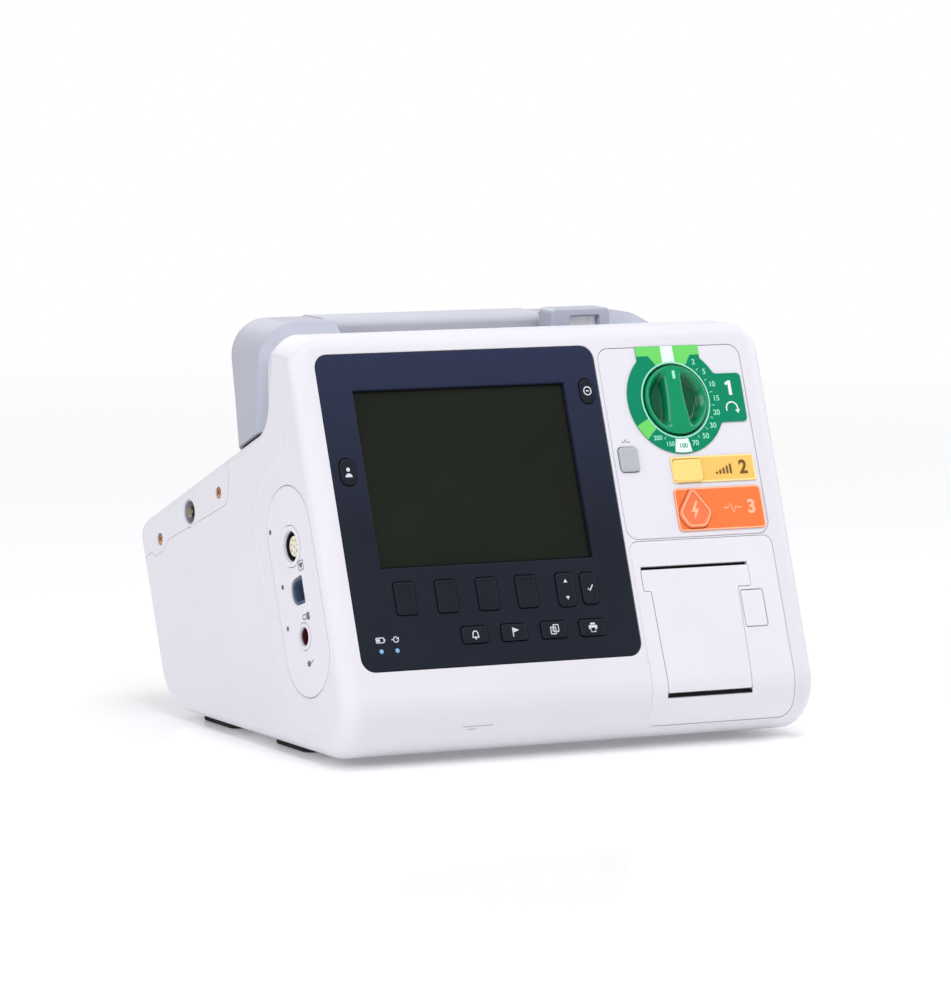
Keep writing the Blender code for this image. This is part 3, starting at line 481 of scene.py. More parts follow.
def screen_glass():
    """The unlit panel behind its window: a dark olive field with a fine cell grid, painted lighter towards the
    bottom as a painted reflection.
    """
    nodes = Nodes("screen_glass")
    dark, light = linear(15, 12, 9), linear(34, 38, 31)
    split = nodes.add("ShaderNodeSeparateXYZ")
    nodes.wire(nodes.place, split, "Vector")
    # painted reflection: the field runs lighter towards the bottom of the window
    fall = nodes.spread(split.outputs["Z"], 1.0, 0.0, TOP_Z * 0.47, TOP_Z * 0.88)
    cloud = nodes.noise(9.0, 2.0)
    tone_and_painted_reflection = nodes.mix(fall, dark, light)
    tone_and_painted_reflection = nodes.mix(nodes.spread(cloud, 0.0, 0.25), tone_and_painted_reflection, dark)
    rows = nodes.add("ShaderNodeTexWave", bands_direction="Z")
    rows.inputs["Scale"].default_value = 900.0
    nodes.wire(nodes.place, rows, "Vector")
    grid = nodes.spread(rows.outputs["Fac"], 0.0, 0.12, 0.0, 1.0)
    nodes.wire(nodes.mix(grid, tone_and_painted_reflection, tinted(dark, 0.5)), nodes.shader, "Base Color")
    nodes.wire(nodes.spread(nodes.noise(40.0, 4.0), 0.20, 0.28), nodes.shader, "Roughness")
    nodes.set(Specular_IOR_Level=0.08)
    return nodes.material


def circuit_board():
    nodes = Nodes("circuit_board")
    tracks = nodes.spread(nodes.cells(260.0, "DISTANCE_TO_EDGE"), 1.0, 0.0, 0.02, 0.09)
    nodes.wire(
        nodes.mix(tracks, (0.012, 0.11, 0.045, 1.0), (0.03, 0.24, 0.10, 1.0)),
        nodes.shader, "Base Color",
    )
    nodes.wire(nodes.spread(nodes.noise(120.0, 3.0), 0.35, 0.5), nodes.shader, "Roughness")
    nodes.wire(nodes.bump(tracks, 0.3, 0.0002), nodes.shader, "Normal")
    return nodes.material


def paper():
    nodes = Nodes("paper")
    fibres = nodes.noise(900.0, 6.0, 0.7, nodes.stretched((1.0, 3.0, 3.0)))
    nodes.wire(
        nodes.mix(nodes.spread(fibres, 0.0, 1.0), linear(228, 224, 214), linear(243, 241, 234)),
        nodes.shader, "Base Color",
    )
    nodes.wire(nodes.spread(fibres, 0.78, 0.92), nodes.shader, "Roughness")
    wraps = nodes.add("ShaderNodeTexWave", wave_type="RINGS", rings_direction="X")
    wraps.inputs["Scale"].default_value = 380.0
    nodes.wire(nodes.place, wraps, "Vector")
    nodes.wire(nodes.bump(wraps.outputs["Fac"], 0.15, 0.0002), nodes.shader, "Normal")
    return nodes.material


def lens(name, colour, roughness=0.16, glow=0.0):
    """Light pipe or window: milky clear plastic with faint flow lines."""
    nodes = Nodes(name)
    flow = nodes.noise(300.0, 3.0, 0.5, nodes.stretched((1.0, 0.3, 1.0)))
    nodes.wire(
        nodes.mix(nodes.spread(flow, 0.0, 1.0), tinted(colour, 0.92), tinted(colour, 1.06)),
        nodes.shader, "Base Color",
    )
    nodes.wire(nodes.spread(flow, roughness, roughness + 0.08), nodes.shader, "Roughness")
    nodes.wire(nodes.bump(flow, 0.05, 0.0001), nodes.shader, "Normal")
    nodes.set(Emission_Color=colour, Emission_Strength=glow)
    return nodes.material


WHITE = plastic("white_plastic", linear(221, 219, 226), 0.46, 0.32, mottle=0.012)
PANEL_WHITE = plastic("panel_white", linear(223, 221, 229), 0.50, 0.28, mottle=0.012)
DOOR_WHITE = plastic("door_white", linear(225, 223, 230), 0.42, 0.32, mottle=0.012)
GREY = plastic("grey_plastic", linear(176, 177, 189), 0.50, 0.32, mottle=0.03)
# a lighter copy of the hood grey for its front band: painted light where the band faces the light
LIT_BAND_GREY = plastic("lit_band_grey", linear(177, 180, 194), 0.44, 0.34, mottle=0.02)
# a lighter copy of the hood grey for the grip bar: painted light on the bar
LIT_BAR_GREY = plastic("lit_bar_grey", linear(192, 193, 204), 0.44, 0.34, mottle=0.02)
# the lighter, bluer upper bezel is a painted reflection
NAVY = plastic("navy_plastic", linear(30, 34, 45), 0.46, 0.10, mottle=0.08, wear=0.05,
               top=(linear(42, 48, 74), "Y", 0.15, 0.27))
NAVY_KEY = plastic("navy_key", linear(27, 30, 39), 0.38, 0.16, grain=0.04, mottle=0.08, wear=0.08)
BLACK = plastic("black_plastic", linear(30, 31, 34), 0.55, 0.30, grain=0.2, mottle=0.08, wear=0.1)
# darker low down and lighter up top: painted shade in the knob's scoops and in the well liner
KNOB_GREEN = plastic("green_knob", linear(0, 86, 56), 0.13, 0.36, grain=0.01, mottle=0.05,
                     top=(linear(0, 142, 94), "Z", -0.0030, 0.0024))
YELLOW_KEY = plastic("yellow_key", linear(250, 214, 128), 0.34, 0.35, grain=0.03, wear=0.1)
ORANGE_KEY = plastic("orange_key", linear(240, 122, 76), 0.30, 0.40, grain=0.03, wear=0.3)
SYNC_GREY = plastic("sync_grey", linear(176, 180, 186), 0.42, 0.35, grain=0.06, wear=0.1)
BLUE = plastic("blue_socket", linear(88, 102, 128), 0.45, 0.35)
CREAM = plastic("cream_insulator", linear(232, 226, 206), 0.38, 0.4, grain=0.03)
MAROON = plastic("bore_seal", linear(84, 22, 34), 0.5, 0.3)
GREEN_PRINT = printed("green_label", linear(0, 132, 96))
BRIGHT_GREEN = printed("bright_green_print", linear(110, 210, 104))
MINT = printed("mint_print", linear(160, 232, 204))
WHITE_INK = printed("white_ink", linear(228, 236, 238))
LABEL_WHITE = printed("white_print", linear(226, 240, 236))
YELLOW_PRINT = printed("yellow_label", linear(238, 194, 104))
YELLOW_EDGE = printed("yellow_edge", linear(255, 228, 160))
ORANGE_PRINT = printed("orange_label", linear(240, 122, 66))
ORANGE_EDGE = printed("orange_edge", linear(255, 186, 150))
BROWN_INK = printed("brown_ink", linear(120, 86, 44))
GREY_INK = printed("grey_ink", linear(98, 102, 120))
CHIN_INK = printed("chin_ink", linear(176, 178, 190))
PALE_INK = printed("pale_ink", linear(206, 214, 222))
METAL = metal("plated_steel", linear(196, 192, 184), 0.32)
STUD_METAL = metal("dull_nickel", linear(150, 140, 124), 0.34)
BRASS = metal("brass_screw", linear(206, 158, 112), 0.36)
GOLD = metal("gold_pins", linear(232, 190, 112), 0.28)
RUBBER = rubber("rubber", linear(34, 34, 36))
GLASS = screen_glass()
BOARD = circuit_board()
PAPER = paper()
CLEAR = lens("clear_lens", linear(238, 236, 240))
LIT = lens("blue_light", linear(120, 160, 200), glow=0.25)
DARK_GAP = plastic("dark_recess", linear(16, 17, 20), 0.8, 0.1)

BY_SLOT = {
    "white_plastic": WHITE, "navy_key": NAVY_KEY, "grey_plastic": GREY, "black_plastic": BLACK,
    "yellow_key": YELLOW_KEY, "yellow_label": YELLOW_PRINT, "brass_screw": BRASS,
    "green_label": GREEN_PRINT, "navy_plastic": NAVY, "rubber": RUBBER, "circuit_board": BOARD,
    "plated_steel": METAL, "module_frame": METAL, "screen_glass": GLASS, "paper": PAPER,
    "clear_lens": CLEAR, "orange_key": ORANGE_KEY, "orange_label": ORANGE_PRINT,
    "blue_socket": BLUE, "sync_grey": SYNC_GREY, "green_knob": KNOB_GREEN,
}


def finish_frame_nodes():
    """Gives every CAD node its finish; the ones replaced below aren't shown."""
    for part in frame["record"]["subparts"]:
        materials = NODES[part["node"]].data.materials
        materials.clear()
        materials.append(BY_SLOT[part["material_slot"]])


# ---------------------------------------------------------------- case shells

TALL_BACK_Y = 0.132            # back of the tall front part, from the face's floor line
SLOPE_START = (0.160, 0.1885)  # a point of the sloping top (y, z)
SLOPE = math.tan(math.radians(24.7))
WALL = 0.003
PARTING_DEPTH = 0.080
GAP = 0.0003
TOP_CORNER = 0.020             # radius of the case's two upper corners, seen from the front
FAR = 0.30                     # past the back and the top
WIDE = 0.2                     # past both sides
CORNER_STEPS = 20
EDGE_STEPS = 9
LIP = 0.0006                   # soft edge of an opening


def slope_z(y):
    return SLOPE_START[1] - SLOPE * (y - SLOPE_START[0])


def body_outline():
    """Side outline of the case (y, z) and each point's edge radius."""
    back_foot = (BODY_DEPTH + BASE_Z * SIN) / COS
    y0, z0 = SLOPE_START
    back_top = (z0 + SLOPE * y0 - SLOPE * BODY_DEPTH / COS) / (1 + SLOPE * LEAN)
    corners = [
        (BASE_Z * LEAN, BASE_Z, 0.031, 0.013),
        (back_foot, BASE_Z, 0.036, 0.010),
        (BODY_DEPTH / COS + back_top * LEAN, back_top, 0.014, 0.009),
        (TALL_BACK_Y, slope_z(TALL_BACK_Y), 0.022, 0.009),
        (TALL_BACK_Y + 0.002, TOP_Z, 0.010, 0.0085),
        (TOP_Z * LEAN, TOP_Z, 0.011, 0.0095),
    ]
    points = rounded([corner[:3] for corner in corners], CORNER_STEPS)
    radii = [corner[3] for corner in corners for _ in range(CORNER_STEPS + 1)]
    return points, radii


def with_corner_points(points, radii):
    """Adds points on the straight runs that the upper corners will bend."""
    spacing = 0.0025
    new_points, new_radii = [], []
    for i, point in enumerate(points):
        following = points[(i + 1) % len(points)]
        next_radius = radii[(i + 1) % len(points)]
        new_points.append(point)
        new_radii.append(radii[i])
        low = TOP_Z - TOP_CORNER - 0.002
        run = (following - point).length
        if run < spacing or max(point.y, following.y) < low or abs(point.y - following.y) < 1e-4:
            continue
        count = int(run / spacing)
        for k in range(1, count):
            share = k / count
            here = point.lerp(following, share)
            if here.y > low:
                new_points.append(here)
                new_radii.append(radii[i] * (1 - share) + next_radius * share)
    return new_points, new_radii


BODY_POINTS, BODY_RADII = with_corner_points(*body_outline())


def edge_stations(half, radii):
    """Stations across the width, with the long edges rounded by each point's radius."""
    near = []
    for i in range(EDGE_STEPS + 1):
        angle = math.pi / 2 * i / EDGE_STEPS
        grow = [-r * (1 - math.sin(angle)) for r in radii]
        near.append((-half + max(radii) * (1 - math.cos(angle)), grow))
    first = near[-1][0]
    last = -half + TOP_CORNER
    for i in range(1, 5):
        near.append((first + (last - first) * i / 4, near[-1][1]))
    return near + [(-z, grow) for z, grow in reversed(near)]


def round_top_corners(made, half, top, radius):
    """Bends the square upper corners into round ones, sliding points down the face."""
    for vertex in made.data.vertices:
        a = abs(vertex.co.z) - (half - radius)
        b = vertex.co.y - (top - radius)
        if a <= 0 or b <= 0:
            continue
        fall = b * (1 - math.sqrt(1 - a * a / (2 * radius * radius)))
        side = half - radius + a * math.sqrt(max(0.0, 1 - b * b / (2 * radius * radius)))
        vertex.co.z = math.copysign(side, vertex.co.z)
        vertex.co.y -= fall
        vertex.co.x -= fall * LEAN


def body_solid(name, inset):
    """The whole case's outer form, or with an inset the form of its inside."""
    half = HALF - inset
    radii = [radius - inset for radius in BODY_RADII]
    made = stack(name, offset(BODY_POINTS, -inset), edge_stations(half, radii), SIDE)
    round_top_corners(made, half, TOP_Z - inset, TOP_CORNER - inset)
    return made


def region(name, corners, grow=0.0):
    """A slab across the whole width with the given (y, z) outline."""
    return prism(name, offset(rounded(corners, 6), grow), -WIDE, WIDE, SIDE)


def at_depth(depth, z):
    return ((depth + z * SIN) / COS, z)


def screw_places():
    """(y, z) of the two cover screws, from the face's floor line."""
    places = []
    for index in (1, 2):
        centre = middle(f"cover_screw_left_{index}", SIDE)
        places.append((centre.x, centre.y))
    return places


SCREWS = screw_places()
STUD = tuple(middle("stud_left", SIDE)[:2])


def seam_path():
    """The top cover's lower edge on the sides, from the slope round to the back."""
    (y_a, z_a), (y_b, z_b) = SCREWS
    fall = (z_b - z_a) / (y_b - y_a)

    def line(y, below):
        return z_a + fall * (y - y_a) - below

    return [
        (y_a - 0.0095, slope_z(y_a) + 0.05, 0.0),
        (y_a - 0.0095, slope_z(y_a - 0.0095) - 0.006, 0.006),
        (y_a - 0.0142, z_a + 0.014, 0.006),
        (y_a - 0.0142, line(y_a - 0.0142, 0.012), 0.010),
        (y_b - 0.012, line(y_b - 0.012, 0.0048), 0.004),
        (y_b - 0.006, line(y_b - 0.006, 0.0090), 0.006),
        (y_b + 0.006, line(y_b + 0.006, 0.0090), 0.006),
        (y_b + 0.011, line(y_b + 0.011, 0.0048), 0.004),
        (y_b + 0.060, line(y_b + 0.060, 0.0048), 0.0),
    ]


def top_region(name, grow):
    return region(name, seam_path() + [(SCREWS[1][0] + 0.060, FAR, 0.0)], grow)


def side_frames():
    return (("left", LEFT_OUT), ("right", RIGHT_OUT))


def on_side(place, y, z, depth=0.0):
    """A place on a side wall, its local y up the lean of the face."""
    along = Vector((0, y, z))
    x_local = along.dot(place.col[0].to_3d())
    y_local = along.dot(place.col[1].to_3d())
    return place @ Matrix.Translation((x_local, y_local, -depth))


PORT_CENTRE = tuple(middle("port_panel_left", SIDE)[:2])
PORT_PLACE = on_side(LEFT_OUT, *PORT_CENTRE)
THERAPY_PORT = tuple(middle("therapy_socket", SIDE)[:2])
PORT_PITCH = middle("ecg_socket", PORT_PLACE).y


def stadium(grow=0.0):
    return rectangle(0.057 + 2 * grow, 0.133 + 2 * grow, 0.0284 + grow, steps=20)


CREASE = (
    (0.1100, 0.2050), (0.1100, 0.1850), (0.1320, 0.1670), (0.1420, 0.1460), (0.1365, 0.1180),
    (0.1150, 0.0735), (0.0936, 0.0310), (0.0840, 0.0240), (0.0660, 0.0215), (0.0480, 0.0230),
)


def smooth_path(points, steps=8):
    """A curve through all the points."""
    count = len(points)
    result = []
    for i in range(count - 1):
        before, here = points[max(i - 1, 0)], points[i]
        after, beyond = points[i + 1], points[min(i + 2, count - 1)]
        for k in range(steps):
            t = k / steps
            result.append(0.5 * (
                2 * here + (after - before) * t
                + (2 * before - 5 * here + 4 * after - beyond) * t * t
                + (3 * here - before - 3 * after + beyond) * t ** 3
            ))
    return result + [points[-1]]


SWELL_PROFILE = (              # (across the path, height over the wall)
    (-0.0040, -0.0006), (-0.0040, 0.0), (-0.0030, 0.00005), (-0.0018, 0.00018),
    (-0.0007, 0.00029), (0.0007, 0.00029), (0.0018, 0.00018), (0.0030, 0.00005),
    (0.0040, 0.0), (0.0040, -0.0006),
)


def side_swell():
    """A broad, very low swell in the side wall that runs round behind the port panel."""
    place = axes((0, -1, 0), (0, 0, 1), (-1, 0, 0), (-HALF, FACE_FOOT, 0))
    path = smooth_path([Vector((-y, z)) for y, z in CREASE])
    shape = bmesh.new()
    rows = []
    for i, point in enumerate(path):
        before, after = path[max(i - 1, 0)], path[min(i + 1, len(path) - 1)]
        along = (after - before).normalized()
        side = Vector((-along.y, along.x))
        taper = min(1.0, (min(i, len(path) - 1 - i) + 0.2) / 8)
        rows.append([
            shape.verts.new((*(point + side * across * (0.3 + 0.7 * taper)),
                             high * taper if high > 0 else high))
            for across, high in SWELL_PROFILE
        ])
    count = len(SWELL_PROFILE)
    for first, second in zip(rows, rows[1:]):
        for k in range(count):
            following = (k + 1) % count
            shape.faces.new((first[k], first[following], second[following], second[k]))
    shape.faces.new(rows[0])
    shape.faces.new(list(reversed(rows[-1])))
    bmesh.ops.recalc_face_normals(shape, faces=shape.faces)
    show(link("side_swell", shape, place), WHITE, "white_plastic")


PANEL_CORNERS = {"display_bezel": 0.009, "therapy_panel": 0.008, "printer_frame": 0.006}


def front_shell():
    shell = cut(body_solid("front_shell", 0.0), body_solid("front_inside", WALL))
    low, high = at_depth(PARTING_DEPTH, -0.02), at_depth(PARTING_DEPTH, FAR)
    front = [(-0.1, -0.02, 0.0), (*low, 0.0), (*high, 0.0), (-0.1, FAR, 0.0)]
    keep(shell, region("front_part", front))
    for node, radius in PANEL_CORNERS.items():
        outline = between(*span(node), radius, GAP)
        if node == "printer_frame":
            cut(shell, prism("printer_opening", outline, -0.020, 0.02, FACE))
        else:
            cut(shell, opening(f"{node}_opening", outline, -0.020, LIP, FACE))
    cut(shell, opening("port_opening", stadium(GAP), -0.01, 0.0014, PORT_PLACE))
    show(shell, WHITE, "white_plastic", "case", ["front_case"])


def bay_cutter(name, node, grow, low, high):
    """A box that follows one of the two packs in the back."""
    return prism(name, between(*span(node, BACK_OUT), PACK_CORNER, grow), low, high, BACK_OUT)


PACK_CORNER = 0.0034            # corner radius of the two blocks in the back
BACK_SCREWS = ((-0.1510, 0.164), (0.0, 0.164), (0.1510, 0.164))


def rear_shell():
    shell = cut(body_solid("rear_shell", 0.0), body_solid("rear_inside", WALL))
    depth = PARTING_DEPTH + GAP / 4
    low, high = at_depth(depth, -0.02), at_depth(depth, FAR)
    rear = [(*low, 0.0), (0.45, -0.02, 0.0), (0.45, FAR, 0.0), (*high, 0.0)]
    keep(shell, region("rear_part", rear))
    cut(shell, top_region("rear_top_cut", GAP))
    play = 0.0006
    for node in ("battery_pack", "power_module"):
        join(shell, bay_cutter(f"{node}_bay", node, play + 0.0025, -0.1075, -0.0001))
    for node in ("battery_pack", "power_module"):
        outline = between(*span(node, BACK_OUT), PACK_CORNER, play)
        cut(shell, opening(f"{node}_mouth", outline, -0.105, 0.0008, BACK_OUT))
    socket = on_side(RIGHT_OUT, *THERAPY_PORT)
    cut(shell, opening("socket_hole", circle(0.0235, 72), -0.01, 0.0008, socket))
    for side, place in side_frames():
        cut(shell, prism(f"{side}_stud_clearance", circle(0.0103, 40), -0.020, 0.01,
                         on_side(place, *STUD)))
    for x, v in BACK_SCREWS:
        cut(shell, opening("back_screw_well", circle(0.0042, 32), -0.0024, 0.0005,
                           moved(BACK_OUT, x, v), steps=2))
    show(shell, WHITE, "white_plastic", "case", ["rear_case"])


def top_shell():
    shell = cut(body_solid("top_shell", 0.0), body_solid("top_inside", WALL))
    keep(shell, top_region("top_part", 0.0))
    for side, place in side_frames():
        for index, screw in enumerate(SCREWS):
            where = on_side(place, *screw)
            join(shell, prism(f"{side}_pad_{index}", circle(0.0062, 32), -0.008, -0.002, where))
        join(shell, prism(f"{side}_stud_pad", circle(0.0100, 48), -0.0125, -0.0002,
                          on_side(place, *STUD)))
        for index, screw in enumerate(SCREWS):
            where = on_side(place, *screw)
            cut(shell, opening(f"{side}_head_{index}", circle(0.0039, 40), -0.0024, 0.0007, where))
            cut(shell, prism(f"{side}_way_{index}", circle(0.0023, 24), -0.020, 0.0, where))
        cut(shell, opening(f"{side}_stud_pocket", circle(0.0078, 48), -0.009, 0.0010,
                           on_side(place, *STUD)))
        cut(shell, prism(f"{side}_stud_way", circle(0.0019, 24), -0.020, 0.0,
                         on_side(place, *STUD)))
    for group in (-1, 1):
        for row in range(2):
            slot = rectangle(0.070, 0.0024, 0.0011, (group * 0.082, 0.2030 + 0.0052 * row))
            cut(shell, opening(f"vent_{group}_{row}", slot, -0.01, 0.0004, BACK_OUT, steps=2))
    show(shell, WHITE, "white_plastic", "case", ["top_cover"])


# ---------------------------------------------------------------- handle

HAND_FLOOR = 0.206             # height of the bottom of the hand hole
HOOD_FRONT = 0.1346            # the hood's front, back from the face's floor line
INDICATOR = span("ready_indicator", ACROSS)
GRIP_LOW, GRIP_HIGH = span("handle_grip", ACROSS)
HOOD_HALF = span("handle_hood", ACROSS)[1].x


def hood_form(name, inset):
    """The hood before its hand hole is cut: a chamfered arch in front, round behind."""
    half = HOOD_HALF - inset
    top = 0.263 - inset
    outline = rounded([
        (-half, 0.13, 0.0),
        (half, 0.13, 0.0),
        (half, 0.231 - inset, 0.022),
        (0.104, top, 0.022),
        (-half, top, 0.026 - inset),
    ], 16)
    front = HOOD_FRONT + inset
    back = 0.205 - inset
    soft = 0.020 - inset
    stations = []
    for i in range(8):
        angle = math.pi / 2 * i / 7
        stations.append((-back + soft * (1 - math.cos(angle)), -soft * (1 - math.sin(angle))))
    stations += [(-front - 0.0150, 0.0), (-front - 0.0142, -0.0001), (-front - 0.0134, -0.0004),
                 (-front - 0.0008, -0.0105), (-front, -0.0117)]
    made = stack(name, outline, stations, ACROSS)
    for vertex in made.data.vertices:
        share = min(1.0, max(0.0, (-vertex.co.z - 0.150) / 0.045))
        vertex.co.z += share * (top - vertex.co.y) * 0.24
    if inset == 0:
        clearance = prism(f"{name}_clearance", offset(BODY_POINTS, 0.0004), -WIDE, WIDE, SIDE)
        return cut(made, clearance)
    low = -0.03
    above = [
        (FAR, slope_z(FAR) + low, 0.0),
        (FAR, FAR, 0.0),
        (0.10, FAR, 0.0),
        (0.10, 0.221 + low, 0.0),
        (HOOD_FRONT + inset, 0.221 + low, 0.0),
        (0.1495, slope_z(0.1495) + low, 0.0),
    ]
    return keep(made, prism(f"{name}_above", rounded(above, 2), -WIDE, WIDE, SIDE))


BAND_DEPTH = 0.0146            # how far back the hood's front band reaches; the band's lighter grey is painted light


def hood():
    """The hood's skirt and its front band, which is painted a lighter grey as painted light."""
    skirt_from = HOOD_FRONT + BAND_DEPTH
    for name, finish, start, end in (
        ("hood_skirt", GREY, skirt_from + 0.0001, FAR),
        ("hood_band", LIT_BAND_GREY, 0.10, skirt_from),
    ):
        made = hollow_hood(name)
        slab = rounded([(start, 0.1, 0.0), (end, 0.1, 0.0), (end, FAR, 0.0), (start, FAR, 0.0)])
        keep(made, prism(f"{name}_slab", slab, -WIDE, WIDE, SIDE))
        show(made, finish, "grey_plastic", "case", ["handle_hood"] if name == "hood_skirt" else ())


def hollow_hood(name):
    made = hood_form(f"{name}_shell", 0.0)
    centre = (GRIP_LOW.x + GRIP_HIGH.x) / 2
    length = GRIP_HIGH.x - GRIP_LOW.x + 2 * GAP
    inside = hood_form(f"{name}_inside", WALL)
    tub = rectangle(length + 2 * WALL, 0.1, 0.0, (centre, HAND_FLOOR - WALL + 0.05))
    cut(inside, prism(f"{name}_tub", tub, -FAR, -0.10, ACROSS))
    cut(made, inside)
    hand = rectangle(length, 0.1, 0.008, (centre, HAND_FLOOR + 0.05))
    cut(made, prism(f"{name}_hand_hole", hand, -FAR, -0.10, ACROSS))
    block = rectangle(0.043, 0.0405, 0.003, (0.059, 0.24725))
    stations = [(-0.1515, -0.0012), (-0.1508, 0.0)] + rounded_front(0.0012, -HOOD_FRONT, 4)
    join(made, stack(f"{name}_block", block, stations, ACROSS))
    low, high = INDICATOR
    pocket = between(low, high, 0.001, 0.0004)
    return cut(made, opening(f"{name}_pocket", pocket, low.z - 0.0004, 0.0008, ACROSS,
                             -HOOD_FRONT))


def grip():
    """The bar the hand closes round, with soft corners."""
    section = rounded([
        (0.160, 0.239, 0.009),
        (0.196, 0.239, 0.009),
        (0.199, 0.2635, 0.010),
        (0.160, 0.2635, 0.006),
    ], 10)
    made = prism("handle_grip_bar", section, GRIP_LOW.x, GRIP_HIGH.x, SIDE)
    # the bar's lighter grey is painted light
    show(made, LIT_BAR_GREY, "grey_plastic", "case", ["handle_grip"])


def indicator_window():
    low, high = INDICATOR
    made = cap("ready_window", between(low, high, 0.0008, -0.0006), low.z, high.z - 0.0030, 0.0006,
               ACROSS)
    show(made, CLEAR, "clear_lens", "case", ["ready_indicator"])
    # a darker grey line round the pocket's inner edge: painted shade in the pocket
    rim = between(low, high, 0.001, 0.0001)
    decal("ready_shade_rim", moved(ACROSS, 0, 0, high.z - 0.0032), GREY_INK, "grey_plastic", "case",
          lines=[(rim, True)], width=0.0012)


# ---------------------------------------------------------------- films and decals

LABEL_THICK = 0.0004


def film(name, outline, place):
    """A stuck-on label film with a softened upper edge."""
    stations = [(0.0, 0.0), (0.0003, 0.0), (LABEL_THICK, -0.0001)]
    return stack(name, outline, stations, place)


def flat_plate(shape, outline, low, high):
    bottom = [shape.verts.new((p.x, p.y, low)) for p in outline]
    top = [shape.verts.new((p.x, p.y, high)) for p in outline]
    count = len(outline)
    for i in range(count):
        following = (i + 1) % count
        shape.faces.new((bottom[i], bottom[following], top[following], top[i]))
    shape.faces.new(list(reversed(bottom)))
    shape.faces.new(top)


def line_plate(shape, points, width, closed, low, high):
    """A drawn line of constant width, as a thin plate."""
    count = len(points)
    rows = []
    for i, point in enumerate(points):
        before = points[i - 1] if closed or i > 0 else point
        after = points[(i + 1) % count] if closed or i < count - 1 else point
        along = (after - before).normalized()
        side = Vector((-along.y, along.x)) * width / 2
        rows.append([
            shape.verts.new((*(point + side), low)),
            shape.verts.new((*(point - side), low)),
            shape.verts.new((*(point - side), high)),
            shape.verts.new((*(point + side), high)),
        ])
    for i in range(count if closed else count - 1):
        first, second = rows[i], rows[(i + 1) % count]
        for k in range(4):
            following = (k + 1) % 4
            shape.faces.new((first[k], first[following], second[following], second[k]))
    if not closed:
        shape.faces.new(rows[0])
        shape.faces.new(list(reversed(rows[-1])))


INK = 0.00006


def decal(name, place, finish, slot, body, filled=(), lines=(), width=0.0006, low=0.0, high=INK):
    """Printed shapes: filled outlines, and (points, closed) lines."""
    shape = bmesh.new()
    for outline in filled:
        flat_plate(shape, outline, low, high)
    for points, closed in lines:
        line_plate(shape, points, width, closed, low, high)
    bmesh.ops.recalc_face_normals(shape, faces=shape.faces)
    return show(link(name, shape, place), finish, slot, body)


def numeral(name, text, size, place, finish, slot, body="case", thick=INK, boldness=0.012):
    """A dial or step number, in the default plain face."""
    curve = bpy.data.curves.new(name, "FONT")
    curve.body = text
    curve.size = size
    curve.align_x = "CENTER"
    curve.align_y = "CENTER"
    curve.extrude = thick / 2
    curve.offset = size * boldness
    letters = bpy.data.objects.new(name, curve)
    bpy.context.scene.collection.objects.link(letters)
    graph = bpy.context.evaluated_depsgraph_get()
    mesh = bpy.data.meshes.new_from_object(letters.evaluated_get(graph))
    bpy.data.objects.remove(letters)
    shape = bmesh.new()
    shape.from_mesh(mesh)
    bmesh.ops.remove_doubles(shape, verts=shape.verts, dist=1e-6)
    made = link(name, shape, moved(place, 0, 0, thick / 2))
    return show(made, finish, slot, body)


def polyline(*pairs):
    return [Vector(pair) for pair in pairs]


def arc(radius, start, end, steps=16, centre=(0.0, 0.0)):
    """Points round part of a circle; degrees run anticlockwise from +x."""
    points = []
    for i in range(steps + 1):
        angle = math.radians(start + (end - start) * i / steps)
        points.append(Vector((centre[0] + radius * math.cos(angle),
                              centre[1] + radius * math.sin(angle))))
    return points


# ---------------------------------------------------------------- left and right ports

def port_panel():
    stations = [(-0.0045, 0.0)] + rounded_front(0.0011, -0.0001)
    made = stack("port_panel", stadium(), stations, PORT_PLACE)
    cut(made, opening("ecg_hole", circle(0.0133, 64, (0, PORT_PITCH)), -0.01, 0.0004, PORT_PLACE))
    cut(made, opening("spo2_hole", d_outline(0.0003), -0.01, 0.0004, PORT_PLACE))
    cut(made, opening("nibp_hole", circle(0.0088, 48, (0, -PORT_PITCH)), -0.01, 0.0004, PORT_PLACE))
    show(made, PANEL_WHITE, "white_plastic", "case", ["port_panel_left"])


def d_outline(grow=0.0):
    """D-shaped socket outline, flat towards the front."""
    return offset(rounded([
        (-0.0080, -0.0078, 0.0070),
        (0.0080, -0.0086, 0.0012),
        (0.0080, 0.0086, 0.0012),
        (-0.0080, 0.0078, 0.0070),
    ], 10), grow)


def ring_section(name, sides, section, place):
    """A turned piece from (z, radius) points, closed at the first one."""
    radius = max(r for _, r in section)
    outline = circle(radius, sides)
    return stack(name, outline, [(z, r - radius) for z, r in section], place)


def turned(name, sides, section, place, *finish):
    """A turned piece, shown with the finish, body and nodes that follow; the slot that follows the finish is not
    used.
    """
    return show(ring_section(name, sides, section, place), *finish)


